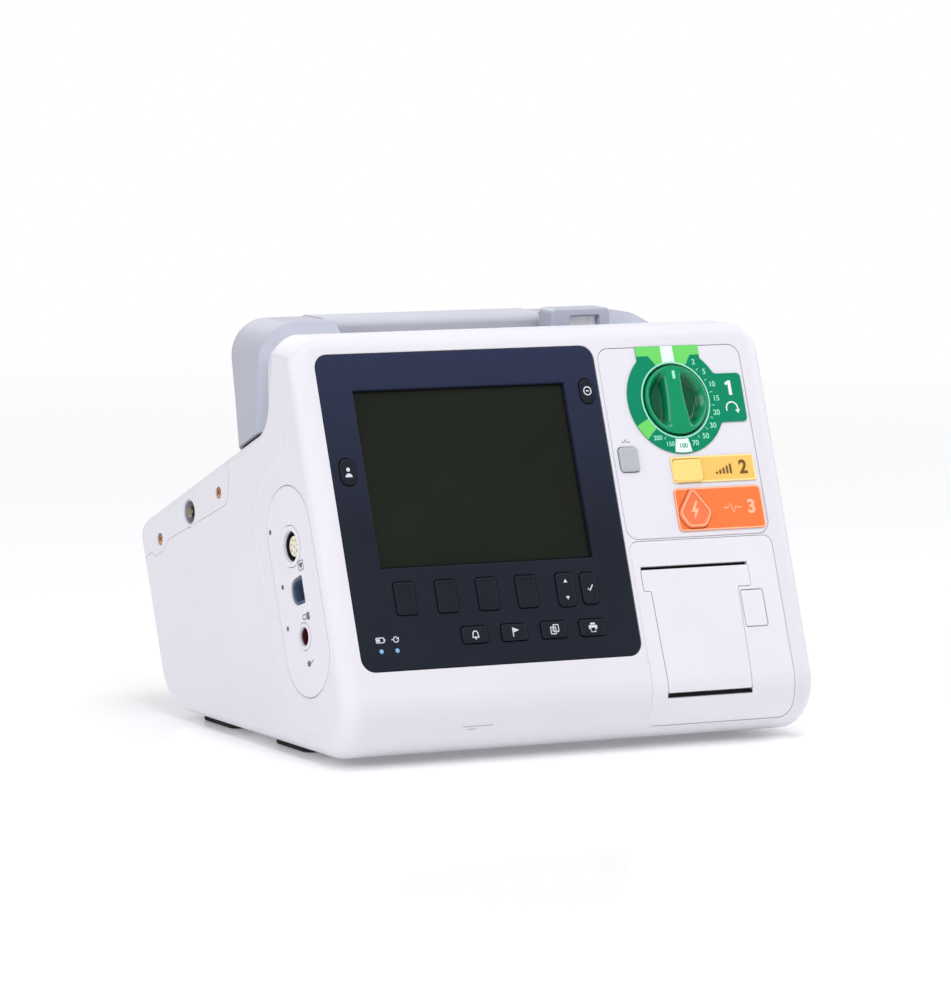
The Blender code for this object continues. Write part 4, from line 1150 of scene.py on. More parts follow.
def ecg_port():
    place = moved(PORT_PLACE, 0, PORT_PITCH)
    section = [(-0.020, 0.0120), (-0.0050, 0.0120), (-0.0050, 0.0130), (-0.0004, 0.0130),
               (0.0004, 0.0127), (0.0007, 0.0121), (0.0007, 0.0109), (0.0003, 0.0101),
               (-0.0006, 0.0096), (-0.0016, 0.0094), (-0.016, 0.0094)]
    turned("ecg_collar", 72, section, place, PANEL_WHITE, "white_plastic", "case",
         ["ecg_socket"])
    sleeve = [(-0.0155, 0.0093), (-0.0022, 0.0093), (-0.0020, 0.0091), (-0.0022, 0.0089),
              (-0.0150, 0.0089)]
    turned("ecg_sleeve", 64, sleeve, place, BLACK, "black_plastic")
    core = [(-0.0150, 0.0066), (-0.0034, 0.0066), (-0.0029, 0.0064), (-0.0027, 0.0059)]
    insulator = ring_section("ecg_insulator", 56, core, place)
    spots = [(0.0, 0.0)] + [tuple(p) for p in circle(0.0042, 7)]
    for index, spot in enumerate(spots):
        cut(insulator, prism(f"ecg_bore_{index}", circle(0.00085, 20, spot), -0.008, 0.0, place))
    show(insulator, CREAM, "white_plastic")
    for index, spot in enumerate(spots):
        pin = cap(f"ecg_pin_{index}", circle(0.0007, 20), -0.0079, -0.0031, 0.0005,
                  moved(place, *spot))
        show(pin, GOLD, "plated_steel")


def spo2_port():
    stations = [(-0.018, -0.0005), (-0.0012, -0.0005), (-0.0007, -0.0008), (-0.0006, -0.0012),
                (-0.0010, -0.0017), (-0.014, -0.0017)]
    show(stack("spo2_cup", d_outline(), stations, PORT_PLACE), BLUE, "blue_socket", "case",
         ["spo2_socket"])
    tongue = rectangle(0.0038, 0.0096, 0.0008, (0.0012, 0.0))
    show(cap("spo2_tongue", tongue, -0.0138, -0.0045, 0.0004, PORT_PLACE), BLACK, "blue_socket")
    for index in range(4):
        contact = rectangle(0.0005, 0.0010, 0.0, (-0.0009, -0.0033 + 0.0022 * index))
        show(prism(f"spo2_contact_{index}", contact, -0.0130, -0.0052, PORT_PLACE), GOLD,
             "plated_steel")


def nibp_port():
    place = moved(PORT_PLACE, 0, -PORT_PITCH)
    section = [(-0.024, 0.0062), (-0.010, 0.0062), (-0.010, 0.0085), (-0.0006, 0.0085),
               (0.0003, 0.0082), (0.0007, 0.0076), (0.0007, 0.0067), (0.0002, 0.0061),
               (-0.0008, 0.0058), (-0.020, 0.0058)]
    turned("nibp_collar", 56, section, place, PANEL_WHITE, "plated_steel", "case",
         ["nibp_fitting"])
    seal = [(-0.0198, 0.00575), (-0.0016, 0.00575), (-0.0012, 0.0054), (-0.0016, 0.0050),
            (-0.0190, 0.0046)]
    turned("nibp_seal", 48, seal, place, MAROON, "black_plastic")
    spigot = [(-0.0190, 0.0016), (-0.0060, 0.0016), (-0.0056, 0.0012)]
    turned("nibp_spigot", 32, spigot, place, METAL, "plated_steel")


def port_icons():
    """Small pictograms by the ports, the port light and the three colour dots."""
    front = moved(PORT_PLACE, 0, 0, -0.00005)

    def local(y, z):
        point = Vector((0, y, z)) - Vector((0, *PORT_CENTRE))
        return (point.dot(LEFT_OUT.col[0].to_3d()), point.dot(LEFT_OUT.col[1].to_3d()))

    heart = arc(0.0011, 20, 190, 10, (-0.0010, 0.0006)) + polyline((0.0, -0.0022))
    heart = arc(0.0011, -10, 160, 10, (0.0010, 0.0006)) + heart
    frame_box = rectangle(0.0062, 0.0058, 0.0006)
    decal("ecg_icon", moved(front, *local(0.0792, 0.1202)), GREY_INK, "white_plastic", "case",
          filled=[heart], lines=[(frame_box, True)], width=0.0005)
    finger = rounded([(-0.0030, -0.0014, 0.0013), (0.0016, -0.0014, 0.0004),
                      (0.0016, 0.0014, 0.0004), (-0.0030, 0.0014, 0.0013)], 5)
    decal("spo2_icon", moved(front, *local(0.0724, 0.0891)), GREY_INK, "white_plastic", "case",
          filled=[rectangle(0.0034, 0.0048, 0.0008, (0.0042, -0.0004))],
          lines=[(finger, True)], width=0.0006)
    cuff = rectangle(0.0040, 0.0034, 0.0008, (-0.0022, 0.0004))
    tube = polyline((0.0001, 0.0), (0.0016, 0.0003), (0.0028, 0.0014), (0.0040, 0.0012))
    decal("nibp_icon", moved(front, *local(0.0637, 0.0612)), GREY_INK, "white_plastic", "case",
          filled=[cuff], lines=[(tube, False)], width=0.0006)
    for index, (y, z) in enumerate(((0.1204, 0.1355), (0.1026, 0.1034), (0.0949, 0.0785))):
        decal(f"port_dot_{index}", moved(front, *local(y, z)), GREY_INK, "white_plastic", "case",
              filled=[circle(0.0016, 24)])
    light = moved(PORT_PLACE, *local(0.1069, 0.1453))
    show(cap("port_light", circle(0.0011, 24), -0.001, 0.0003, 0.0003, light), CLEAR, "clear_lens")


def therapy_port():
    place = on_side(RIGHT_OUT, *THERAPY_PORT)
    section = [(-0.036, 0.0222), (-0.0035, 0.0222), (-0.0035, 0.0231), (-0.0010, 0.0231),
               (-0.0002, 0.0228), (0.0002, 0.0220), (0.0002, 0.0192), (-0.0004, 0.0176),
               (-0.0020, 0.0170), (-0.030, 0.0170)]
    turned("therapy_shell", 80, section, place, BLACK, "black_plastic", "case",
         ["therapy_socket"])
    core = [(-0.0299, 0.0128), (-0.0130, 0.0128), (-0.0124, 0.0124), (-0.0122, 0.0116)]
    turned("therapy_core", 56, core, place, BLACK, "black_plastic")
    for index, x in enumerate((-0.0075, 0.0075)):
        post = [(-0.0290, 0.0022), (-0.0088, 0.0022), (-0.0080, 0.0016)]
        turned(f"therapy_post_{index}", 28, post, moved(place, x, 0), GOLD,
             "plated_steel")
    for index in range(3):
        turn = Matrix.Rotation(math.radians(90 + 120 * index), 4, "Z")
        key = rectangle(0.0050, 0.0040, 0.0006, (0.0150, 0.0))
        show(cap(f"therapy_key_{index}", key, -0.028, -0.0045, 0.0005, place @ turn), BLACK,
             "black_plastic")


# ---------------------------------------------------------------- display side of the face

PANEL_SINK = 0.0003
PLATE = 0.003
KEY_GAP = 0.0005
SCREEN_LOW, SCREEN_HIGH = span("lcd_window")
WINDOW_BORDER = 0.004          # how far the window reaches behind the bezel

KEY_CORNERS = {
    "soft_key_1": 0.0016, "soft_key_2": 0.0016, "soft_key_3": 0.0016, "soft_key_4": 0.0016,
    "nav_key": 0.0030, "select_key": 0.0030, "alarm_key": 0.0016, "event_key": 0.0016,
    "report_key": 0.0016, "print_key": 0.0016, "patient_key": 0.0050, "lead_key": 0.0048,
}
KEY_FLANGE = 0.0012


def key_cap(name):
    """(low, high) of the part of a key that shows, with z the proud front."""
    low, high = span(name)
    inset = Vector((KEY_FLANGE, KEY_FLANGE, 0))
    return low + inset, high - inset


def flanged(base):
    """Stations of a key's hidden flange, up to where its cap begins."""
    top = base + KEY_FLANGE
    return [(base, KEY_FLANGE), (top, KEY_FLANGE), (top, 0.0)]


def bezel():
    low, high = span("display_bezel")
    made = stack("display_panel", between(low, high, PANEL_CORNERS["display_bezel"]),
                 [(low.z, 0.0)] + rounded_front(0.0010, high.z + 0.0001), FACE)
    screen = between(SCREEN_LOW, SCREEN_HIGH, 0.0048, -WINDOW_BORDER)
    cut(made, opening("screen_opening", screen, -0.02, 0.0012, FACE, high.z + 0.0001))
    for name, radius in KEY_CORNERS.items():
        key_low, key_high = key_cap(name)
        hole = between(key_low, key_high, radius, KEY_GAP)
        cut(made, opening(f"{name}_hole", hole, -0.02, 0.0003, FACE, high.z + 0.0001, 2))
    for index, spot in enumerate(light_places()):
        cut(made, prism(f"light_hole_{index}", circle(0.0017, 24, spot), -0.02, 0.02, FACE))
    show(made, NAVY, "navy_plastic", "case", ["display_bezel"])


def light_places():
    low, high = span("status_lights", FACE, 0.0005)
    v = (low.y + high.y) / 2
    radius = (high.y - low.y) / 2
    return ((low.x + radius, v), (high.x - radius, v))


def status_lenses():
    """Domed ends of the light pipe, and the battery and mains pictograms above them."""
    front = -PANEL_SINK + 0.0001
    for index, spot in enumerate(light_places()):
        made = cap(f"status_lens_{index}", circle(0.0015, 32), -0.0030, 0.0003, 0.0010,
                   on_face(*spot))
        show(made, LIT, "clear_lens")
    (left, v), (right, _) = light_places()
    above = v + 0.0070
    cell = rectangle(0.0054, 0.0030, 0.0005)
    decal("battery_icon", on_face(left, above, -front), PALE_INK, "navy_plastic", "case",
          filled=[rectangle(0.0007, 0.0014, 0.0, (0.0032, 0)),
                  rectangle(0.0022, 0.0016, 0, (-0.0012, 0))],
          lines=[(cell, True)], width=0.0006)
    plug = arc(0.0017, 60, 360 + 20, 20)
    decal("mains_icon", on_face(right, above, -front), PALE_INK, "navy_plastic", "case",
          lines=[(plug, False), (polyline((-0.0032, 0), (-0.0017, 0)), False),
                 (polyline((0.0004, 0.0004), (0.0020, 0.0012)), False)], width=0.0006)


def keys():
    """Key caps with crowned tops; the four soft keys have a raised upper lip."""
    for name, radius in KEY_CORNERS.items():
        low, high = key_cap(name)
        centre = ((low.x + high.x) / 2, (low.y + high.y) / 2)
        outline = between(low, high, radius)
        soft = 0.0007
        stations = flanged(low.z) + rounded_front(soft, high.z)
        stations += [(high.z + 0.00008, -soft - 0.0004), (high.z + 0.00012, -soft - 0.0008)]
        made = stack(f"{name}_cap", outline, stations, FACE)
        if name.startswith("soft_key"):
            ridge = rectangle(high.x - low.x - 0.0016, 0.0011, 0.0005,
                              (centre[0], high.y - 0.0014))
            join(made, cap(f"{name}_ridge", ridge, high.z - 0.0004, high.z + 0.0006, 0.0004, FACE))
        show(made, NAVY_KEY, "navy_key", name, [name])


def key_top(name, height=0.00012):
    low, high = key_cap(name)
    return on_face((low.x + high.x) / 2, (low.y + high.y) / 2, -(high.z + height))


def key_icons():
    pale = (PALE_INK, "navy_key")
    dome = arc(0.0017, 0, 180, 12, (0, 0.0004))
    bell = dome + polyline((-0.0019, -0.0010), (-0.0026, -0.0018), (0.0026, -0.0018),
                           (0.0019, -0.0010))
    decal("alarm_icon", key_top("alarm_key"), *pale, "alarm_key",
          lines=[(bell, True)], filled=[circle(0.0006, 12, (0, -0.0026))], width=0.0007)
    pennant = polyline((-0.0012, 0.0028), (0.0030, 0.0011), (-0.0012, -0.0004))
    decal("event_icon", key_top("event_key"), *pale, "event_key", filled=[pennant],
          lines=[(polyline((-0.0014, 0.0029), (-0.0014, -0.0029)), False)], width=0.0006)
    back_page = rectangle(0.0036, 0.0044, 0.0003, (0.0010, 0.0008))
    front_page = rectangle(0.0036, 0.0044, 0.0003, (-0.0010, -0.0006))
    decal("report_icon", key_top("report_key"), *pale, "report_key",
          lines=[(back_page, True), (front_page, True)],
          filled=[rectangle(0.0018, 0.0005, 0, (-0.0010, 0.0004)),
                  rectangle(0.0018, 0.0005, 0, (-0.0010, -0.0008))], width=0.0006)
    body = polyline((-0.0030, 0.0012), (0.0030, 0.0012), (0.0030, -0.0012), (0.0018, -0.0012),
                    (0.0018, -0.0004), (-0.0018, -0.0004), (-0.0018, -0.0012), (-0.0030, -0.0012))
    sheet = polyline((-0.0016, -0.0008), (-0.0016, -0.0030), (0.0016, -0.0030), (0.0016, -0.0008))
    decal("print_icon", key_top("print_key"), *pale, "print_key",
          filled=[body, rectangle(0.0034, 0.0012, 0, (0, 0.0022))], lines=[(sheet, False)],
          width=0.0005)
    shoulders = arc(0.0024, 0, 180, 12, (0, -0.0034))
    decal("patient_icon", key_top("patient_key"), *pale, "patient_key",
          filled=[circle(0.0013, 20, (0, 0.0014)), shoulders])
    decal("lead_icon", key_top("lead_key"), *pale, "lead_key",
          lines=[(circle(0.0026, 28), True), (polyline((-0.0012, 0.0), (0.0012, 0.0)), False)],
          width=0.0007)
    decal("select_icon", key_top("select_key"), *pale, "select_key",
          lines=[(polyline((-0.0016, -0.0002), (-0.0004, -0.0016), (0.0020, 0.0020)), False)],
          width=0.0008)
    up = polyline((-0.0014, -0.0009), (0.0014, -0.0009), (0.0, 0.0013))
    raised = [p + Vector((0, 0.0053)) for p in up]
    lowered = [Vector((-p.x, -p.y - 0.0053)) for p in up]
    decal("nav_icon", key_top("nav_key"), *pale, "nav_key", filled=[raised, lowered])


def screen():
    """The window pane, set back behind the bezel's edge, with its own thin dark border."""
    low, high = SCREEN_LOW, SCREEN_HIGH
    pane = between(low, high, 0.001)
    show(prism("screen_pane", pane, low.z, high.z, FACE), GLASS, "screen_glass", "case",
         ["lcd_window"])
    inner = between(low, high, 0.001, -WINDOW_BORDER - 0.0004)
    decal("screen_border", on_face(0, 0, -high.z), DARK_GAP, "screen_glass", "case",
          lines=[(inner, True)], width=0.0016)


# ---------------------------------------------------------------- therapy side of the face

WELL_RADIUS = 0.0238
KNOB_RADIUS = 0.0226
LABEL_RADIUS = 0.0353
RING_OUTER = 0.0252
DIAL = on_face(*KNOB_CENTRE)
DIAL_TOP = on_face(*KNOB_CENTRE, -LABEL_THICK)

CONTROL_NAMES = ("sync_button", "charge_button", "shock_button")


def control_outline(name, grow=0.0):
    """Outline of a control's cap about its own centre."""
    low, high = key_cap(name)
    if name != "shock_button":
        return rectangle(high.x - low.x + 2 * grow, high.y - low.y + 2 * grow, 0.0024 + grow)
    drop = rounded([
        (0.0, 0.0158, 0.0030),
        (-0.0129, -0.0018, 0.0060),
        (-0.0068, -0.0114, 0.0060),
        (0.0068, -0.0114, 0.0060),
        (0.0129, -0.0018, 0.0060),
    ], 8)
    return offset(drop, grow)


SHOCK_CENTRE = (0.0986, 0.1552)


def control_place(name):
    if name == "shock_button":
        return on_face(*SHOCK_CENTRE)
    low, high = span(name)
    return on_face((low.x + high.x) / 2, (low.y + high.y) / 2)


def therapy_face():
    low, high = span("therapy_panel")
    front = -PANEL_SINK
    made = stack("therapy_plate", between(low, high, PANEL_CORNERS["therapy_panel"]),
                 [(front - PLATE, 0.0)] + rounded_front(0.0006, front), FACE)
    for name in CONTROL_NAMES:
        outline = control_outline(name, KEY_GAP)
        cut(made, opening(f"{name}_way", outline, -0.02, 0.0003, control_place(name), front, 2))
    join(made, prism("knob_tub", circle(WELL_RADIUS + 0.0018, 72), low.z, -0.0020, DIAL))
    cut(made, prism("knob_well", circle(WELL_RADIUS, 72), -0.0095, 0.02, DIAL))
    cut(made, prism("shaft_way", circle(0.0045, 32), -0.02, 0.0, DIAL))
    show(made, PANEL_WHITE, "white_plastic", "case", ["therapy_panel"])


def tab_outline():
    return rounded([
        (0.0100, -0.0240, 0.0),
        (0.0215, -0.0240, 0.004),
        (0.0318, -0.0157, 0.007),
        (0.0509, -0.0157, 0.0030),
        (0.0509, 0.0163, 0.0030),
        (0.0318, 0.0163, 0.007),
        (0.0215, 0.0240, 0.004),
        (0.0100, 0.0240, 0.0),
    ], 8)


BAND = (-0.0237, 0.0229, 0.0252, 0.0356)   # the bright band over the dial: u and v limits
WHITE_BOX = (-0.0052, 0.0037)              # its white middle part


def dial_print():
    """The dial's printed film: green field, bright zones, pale boxes, ring, ticks, numbers."""
    made = film("dial_film", circle(LABEL_RADIUS, 96), DIAL)
    join(made, film("dial_tab", tab_outline(), DIAL))
    left, right, low, high = BAND
    strip = rectangle(right - left, high - low, 0.0006, ((left + right) / 2, (low + high) / 2))
    join(made, film("dial_strip", strip, DIAL))
    cut(made, prism("dial_hole", circle(WELL_RADIUS + 0.0002, 96), -0.01, 0.01, DIAL))
    show(made, GREEN_PRINT, "green_label", "case", ["dial_label"])
    bright_zones()
    ring = [(circle((WELL_RADIUS + RING_OUTER) / 2 + 0.0002, 96), True)]
    decal("dial_ring", DIAL_TOP, MINT, "green_label", "case", lines=ring,
          width=RING_OUTER - WELL_RADIUS - 0.0004, high=0.0001)
    # a dark green sleeve lining the knob well: the green is the well's colour, its darkness painted shade in the
    # well
    shade_liner = [(-0.0093, WELL_RADIUS - 0.0001), (0.0001, WELL_RADIUS - 0.0001),
             (0.0003, WELL_RADIUS - 0.0003), (0.0001, WELL_RADIUS - 0.0005),
             (-0.0092, WELL_RADIUS - 0.0005)]
    turned("well_shade_liner", 96, shade_liner, DIAL, KNOB_GREEN, "green_knob")
    dial_numbers()


def bright_zones():
    left, right, low, high = BAND
    box_left, box_right = WHITE_BOX
    edge = 0.0293
    left_zone = polyline((left, edge), (left, high), (box_left, high)) + [
        at_bearing(RING_OUTER, b) for b in (-12, -18, -24)
    ] + polyline((-0.0150, edge))
    right_zone = polyline((right, high), (right, edge), (0.0160, edge)) + [
        at_bearing(RING_OUTER, b) for b in (26, 20, 14, 9)
    ] + polyline((box_right, high))
    decal("bright_zones", DIAL_TOP, BRIGHT_GREEN, "green_label", "case",
          filled=[left_zone[::-1], right_zone[::-1],
                  sector(RING_OUTER, LABEL_RADIUS - 0.0001, 225, 243)])
    off_box = polyline((box_left, high), (box_right, high)) + [
        at_bearing(RING_OUTER, b) for b in (9, 2, -5, -12)
    ]
    decal("pale_boxes", DIAL_TOP, LABEL_WHITE, "green_label", "case",
          filled=[off_box[::-1], sector(RING_OUTER + 0.0004, LABEL_RADIUS - 0.0008, 170, 191)])


ENERGY_STEPS = ("2", "5", "10", "15", "20", "30", "50", "70", "100", "150", "200")
STEP_TURN = 18                  # degrees between two dial positions
FIRST_STEP = 36


def dial_numbers():
    """Numbers every 18 degrees clockwise from the upper right, with a tick between each."""
    middle_radius = 0.0302
    for index, text in enumerate(ENERGY_STEPS):
        bearing = FIRST_STEP + STEP_TURN * index
        spot = at_bearing(middle_radius, bearing)
        dark = bearing == 180
        finish = GREEN_PRINT if dark else MINT
        size = 0.0050 if len(text) < 3 else 0.0042
        place = moved(DIAL_TOP, *spot, INK if dark else 0.0)
        numeral(f"dial_number_{text}", text, size, place, finish, "green_label")
    ticks = []
    for index in range(len(ENERGY_STEPS) + 1):
        along = at_bearing(1, FIRST_STEP + STEP_TURN * (index - 0.5))
        ticks.append(([along * 0.0264, along * 0.0286], False))
    decal("dial_ticks", DIAL_TOP, MINT, "green_label", "case", lines=ticks, width=0.0004)
    one = polyline((-0.0008, -0.0048), (0.0015, -0.0048), (0.0015, 0.0048), (-0.0004, 0.0048),
                   (-0.0031, 0.0032), (-0.0024, 0.0017), (-0.0008, 0.0024))
    decal("step_number_1", moved(DIAL_TOP, 0.0412, 0.0066), WHITE_INK, "green_label", "case",
          filled=[one])
    turn = arc(0.0042, 200, -20, 18, (0.0408, -0.0070))
    tip = turn[-1]
    head = [tip + Vector(p) for p in ((-0.0018, 0.0006), (0.0016, 0.0008), (0.0001, -0.0020))]
    decal("turn_arrow", DIAL_TOP, WHITE_INK, "green_label", "case", lines=[(turn, False)],
          filled=[head[::-1]], width=0.0009)


def smooth_step(value):
    share = min(1.0, max(0.0, value))
    return share * share * (3 - 2 * share)


def knob_height(x, y):
    """Height of the knob's top: a crowned ridge with a deep scoop on each side."""
    radius = math.hypot(x, y)
    ridge = 0.0044 + 0.0020 * smooth_step((0.006 - y) / 0.026)
    away = smooth_step((abs(x) - ridge) / 0.0052)
    inside = smooth_step((KNOB_RADIUS - 0.0010 - radius) / 0.0066)
    scoop = 0.0062 * away * inside
    crown = 0.0005 * max(0.0, 1 - (x / ridge) ** 2) * smooth_step((KNOB_RADIUS - radius) / 0.006)
    edge = max(0.0, radius - (KNOB_RADIUS - 0.0014)) / 0.0014
    fall = 0.0012 * (1 - math.sqrt(max(0.0, 1 - edge * edge)))
    return 0.0024 + crown - scoop - fall


def knob():
    """The turned skirt and the scooped top, with its printed pointer."""
    rings, sides = 56, 180
    shape = bmesh.new()
    middle_vertex = shape.verts.new((0, 0, knob_height(0, 0)))
    around = [(math.sin(2 * math.pi * k / sides), math.cos(2 * math.pi * k / sides))
              for k in range(sides)]
    loops = []
    for ring in range(1, rings + 1):
        radius = KNOB_RADIUS * (ring / rings) ** 0.85
        spots = [(radius * x, radius * y) for x, y in around]
        loops.append([shape.verts.new((x, y, knob_height(x, y))) for x, y in spots])
    for z, radius in ((-0.0080, KNOB_RADIUS), (-0.0085, KNOB_RADIUS - 0.0006)):
        loops.append([shape.verts.new((radius * x, radius * y, z)) for x, y in around])
    for k in range(sides):
        shape.faces.new((middle_vertex, loops[0][k], loops[0][(k + 1) % sides]))
    for inner, outer in zip(loops, loops[1:]):
        for k in range(sides):
            following = (k + 1) % sides
            shape.faces.new((inner[k], outer[k], outer[following], inner[following]))
    shape.faces.new(loops[-1])
    bmesh.ops.recalc_face_normals(shape, faces=shape.faces)
    show(link("knob_body", shape, DIAL), KNOB_GREEN, "green_knob", "knob", ["therapy_knob"],
         math.radians(60))
    pointer = rectangle(0.0020, 0.0054, 0.0006, (0.0, 0.0160))
    decal("knob_pointer", DIAL, MINT, "green_label", "knob", filled=[pointer], low=0.0020,
          high=0.0031)


def action_labels():
    """The two coloured step labels, with a lighter printed edge, a number and a pictogram."""
    for node, finish, edge, radius, ink, text, slot in (
        ("charge_label", YELLOW_PRINT, YELLOW_EDGE, 0.0014, BROWN_INK, "2", "yellow_label"),
        ("shock_label", ORANGE_PRINT, ORANGE_EDGE, 0.0030, ORANGE_EDGE, "3", "orange_label"),
    ):
        low, high = span(node)
        outline = between(low, high, radius)
        button = node.replace("label", "button")
        made = film(f"{node}_film", outline, FACE)
        way = prism(f"{node}_way", control_outline(button, KEY_GAP), -0.02, 0.02,
                    control_place(button))
        show(cut(made, way), finish, slot, "case", [node])
        top = on_face(0, 0, -LABEL_THICK)
        decal(f"{node}_edge", top, edge, slot, "case",
              lines=[(between(low, high, radius, -0.0006), True)], width=0.0009)
        where = on_face(high.x - 0.0088, (low.y + high.y) / 2 - 0.0002, -LABEL_THICK)
        numeral(f"step_number_{text}", text, 0.0122, where, ink, slot, boldness=0.035)
    low, high = span("charge_label")
    rise = on_face(high.x - 0.0235, (low.y + high.y) / 2, -LABEL_THICK)
    bars = [
        rectangle(0.0016, 0.0016 + 0.0012 * i, 0.0003,
                  (0.0026 * i - 0.0052, -0.0030 + 0.0006 * i))
        for i in range(5)
    ]
    decal("charge_bars", rise, BROWN_INK, "yellow_label", "case", filled=bars)
    low, high = span("shock_label")
    wave = on_face(high.x - 0.0225, (low.y + high.y) / 2, -LABEL_THICK)
    pulse = polyline((-0.0070, 0.0), (-0.0036, 0.0), (-0.0022, 0.0030), (0.0004, -0.0034),
                     (0.0022, 0.0012), (0.0034, 0.0), (0.0060, 0.0))
    decal("pulse_line", wave, ORANGE_EDGE, "orange_label", "case", lines=[(pulse, False)],
          width=0.0008)


def control_caps():
    for name, finish, slot in (
        ("sync_button", SYNC_GREY, "sync_grey"),
        ("charge_button", YELLOW_KEY, "yellow_key"),
        ("shock_button", ORANGE_KEY, "orange_key"),
    ):
        low, high = span(name)
        soft = 0.0012
        stations = flanged(low.z) + rounded_front(soft, high.z, 7)
        if name == "shock_button":
            stations += [(high.z - 0.00015, -soft - 0.0006), (high.z - 0.0006, -soft - 0.0013),
                         (high.z - 0.0007, -soft - 0.0018)]
        else:
            stations += [(high.z + 0.0001, -soft - 0.0005), (high.z + 0.00014, -soft - 0.0011)]
        made = stack(f"{name}_cap", control_outline(name), stations, control_place(name))
        show(made, finish, slot, name, [name])
    _, high = span("shock_button")
    bolt = polyline((0.0012, 0.0062), (-0.0030, -0.0006), (-0.0004, -0.0006), (-0.0016, -0.0062),
                    (0.0030, 0.0012), (0.0004, 0.0012), (0.0026, 0.0062))
    rim = offset(control_outline("shock_button"), -0.0013)
    decal("shock_rim", moved(control_place("shock_button"), 0, 0, high.z - 0.00004), ORANGE_EDGE,
          "orange_key", "shock_button", lines=[(rim, True)], width=0.0007)
    decal("shock_bolt", moved(control_place("shock_button"), 0, -0.0004, high.z - 0.0007),
          ORANGE_EDGE, "orange_key", "shock_button", filled=[bolt])
    low, high = span("sync_button")
    tag = on_face((low.x + high.x) / 2, high.y + 0.0030, PANEL_SINK)
    bracket = polyline((-0.0030, -0.0006), (-0.0012, -0.0006), (-0.0004, 0.0012), (0.0004, -0.0010),
                       (0.0012, -0.0006), (0.0030, -0.0006))
    decal("sync_icon", tag, GREY_INK, "white_plastic", "case", lines=[(bracket, False)],
          width=0.0005)


# ---------------------------------------------------------------- printer

DOOR_PLATE = 0.0026
DOOR_TOP, DOOR_STEP, DOOR_LOW = 0.1185, 0.1050, 0.0395


def skin(name, sink, thickness):
    """A band that follows the front outline of the case, sunk and of this thickness."""
    outer = prism(name, offset(BODY_POINTS, -sink), -WIDE, WIDE, SIDE)
    core = offset(BODY_POINTS, -sink - thickness)
    return cut(outer, prism(f"{name}_core", core, -0.21, 0.21, SIDE))


def door_outline(grow=0.0):
    return offset(rounded([
        (0.0590, DOOR_LOW, 0.0),
        (0.1200, DOOR_LOW, 0.0),
        (0.1213, DOOR_STEP, 0.0014),
        (0.1312, DOOR_STEP, 0.0015),
        (0.1312, DOOR_TOP, 0.0010),
        (0.0524, DOOR_TOP, 0.0010),
        (0.0524, DOOR_STEP, 0.0015),
        (0.0577, DOOR_STEP, 0.0014),
    ], 5), grow)


def printer():
    low, high = span("printer_frame")
    outline = between(low, high, PANEL_CORNERS["printer_frame"])
    made = prism("printer_plate", outline, -0.018, 0.02, FACE)
    keep(made, skin("printer_skin", PANEL_SINK, PLATE))
    join(made, prism("bucket_outer", rectangle(0.088, 0.088, 0.004, (0.0915, 0.0845)),
                     low.z, -0.0020, FACE))
    cut(made, prism("bucket_inner", rectangle(0.068, 0.080, 0.004, (0.0905, 0.0845)),
                    low.z + 0.002, -0.0033, FACE))
    cut(made, opening("door_opening", door_outline(0.0004), -0.012, 0.0003, FACE, -PANEL_SINK, 2))
    cut(made, prism("paper_slot", rectangle(0.0788, 0.0030, 0.0004, (0.0918, 0.1193)),
                    -0.012, 0.02, FACE))
    cut(made, prism("hinge_slot", rectangle(0.0624, 0.0044, 0.0004, (0.0895, 0.0385)),
                    -0.006, 0.02, FACE))
    latch_low, latch_high = key_cap("door_latch")
    cut(made, opening("latch_way", between(latch_low, latch_high, 0.0012, KEY_GAP), -0.012, 0.0003,
                      FACE, -PANEL_SINK, 2))
    cut(made, prism("latch_back", between(latch_low, latch_high, 0.0012, 0.0018), -0.012, -0.0034,
                    FACE))
    show(made, DOOR_WHITE, "white_plastic", "case", ["printer_frame"])
    # black plates behind the paper and hinge slots: painted shade that keeps the slots dark
    for name, width, height, centre, depth in (
        ("paper_slot_shade", 0.0784, 0.0026, (0.0918, 0.1193), 0.0030),
        ("hinge_slot_shade", 0.0620, 0.0016, (0.0895, 0.0376), 0.0028),
    ):
        strip = rectangle(width, height, 0.0003, centre)
        show(prism(name, strip, -depth - 0.0006, -depth, FACE), DARK_GAP, "black_plastic")


def printer_door():
    made = prism("printer_door_panel", door_outline(), -0.010, 0.020, FACE)
    keep(made, skin("door_skin", PANEL_SINK, DOOR_PLATE))
    platen = middle("platen_roller")
    for index, u in enumerate((platen.x - 0.0290, platen.x + 0.0290)):
        ear = rounded([
            (platen.y - 0.0065, -0.0130, 0.002),
            (platen.y + 0.0035, -0.0130, 0.002),
            (platen.y + 0.0035, -0.0020, 0.0),
            (platen.y - 0.0065, -0.0020, 0.0),
        ], 4)
        side = FACE @ axes((0, 1, 0), (0, 0, 1), (1, 0, 0), (u, 0, 0))
        join(made, prism(f"door_ear_{index}", ear, -0.0012, 0.0012, side))
    show(made, DOOR_WHITE, "white_plastic", "printer_door", ["printer_door"])


def latch():
    low, high = key_cap("door_latch")
    stations = flanged(low.z) + rounded_front(0.0006, high.z)
    show(stack("door_latch_cap", between(low, high, 0.0012), stations, FACE), DOOR_WHITE,
         "white_plastic", "door_latch", ["door_latch"])


# ---------------------------------------------------------------- back, underside, fasteners

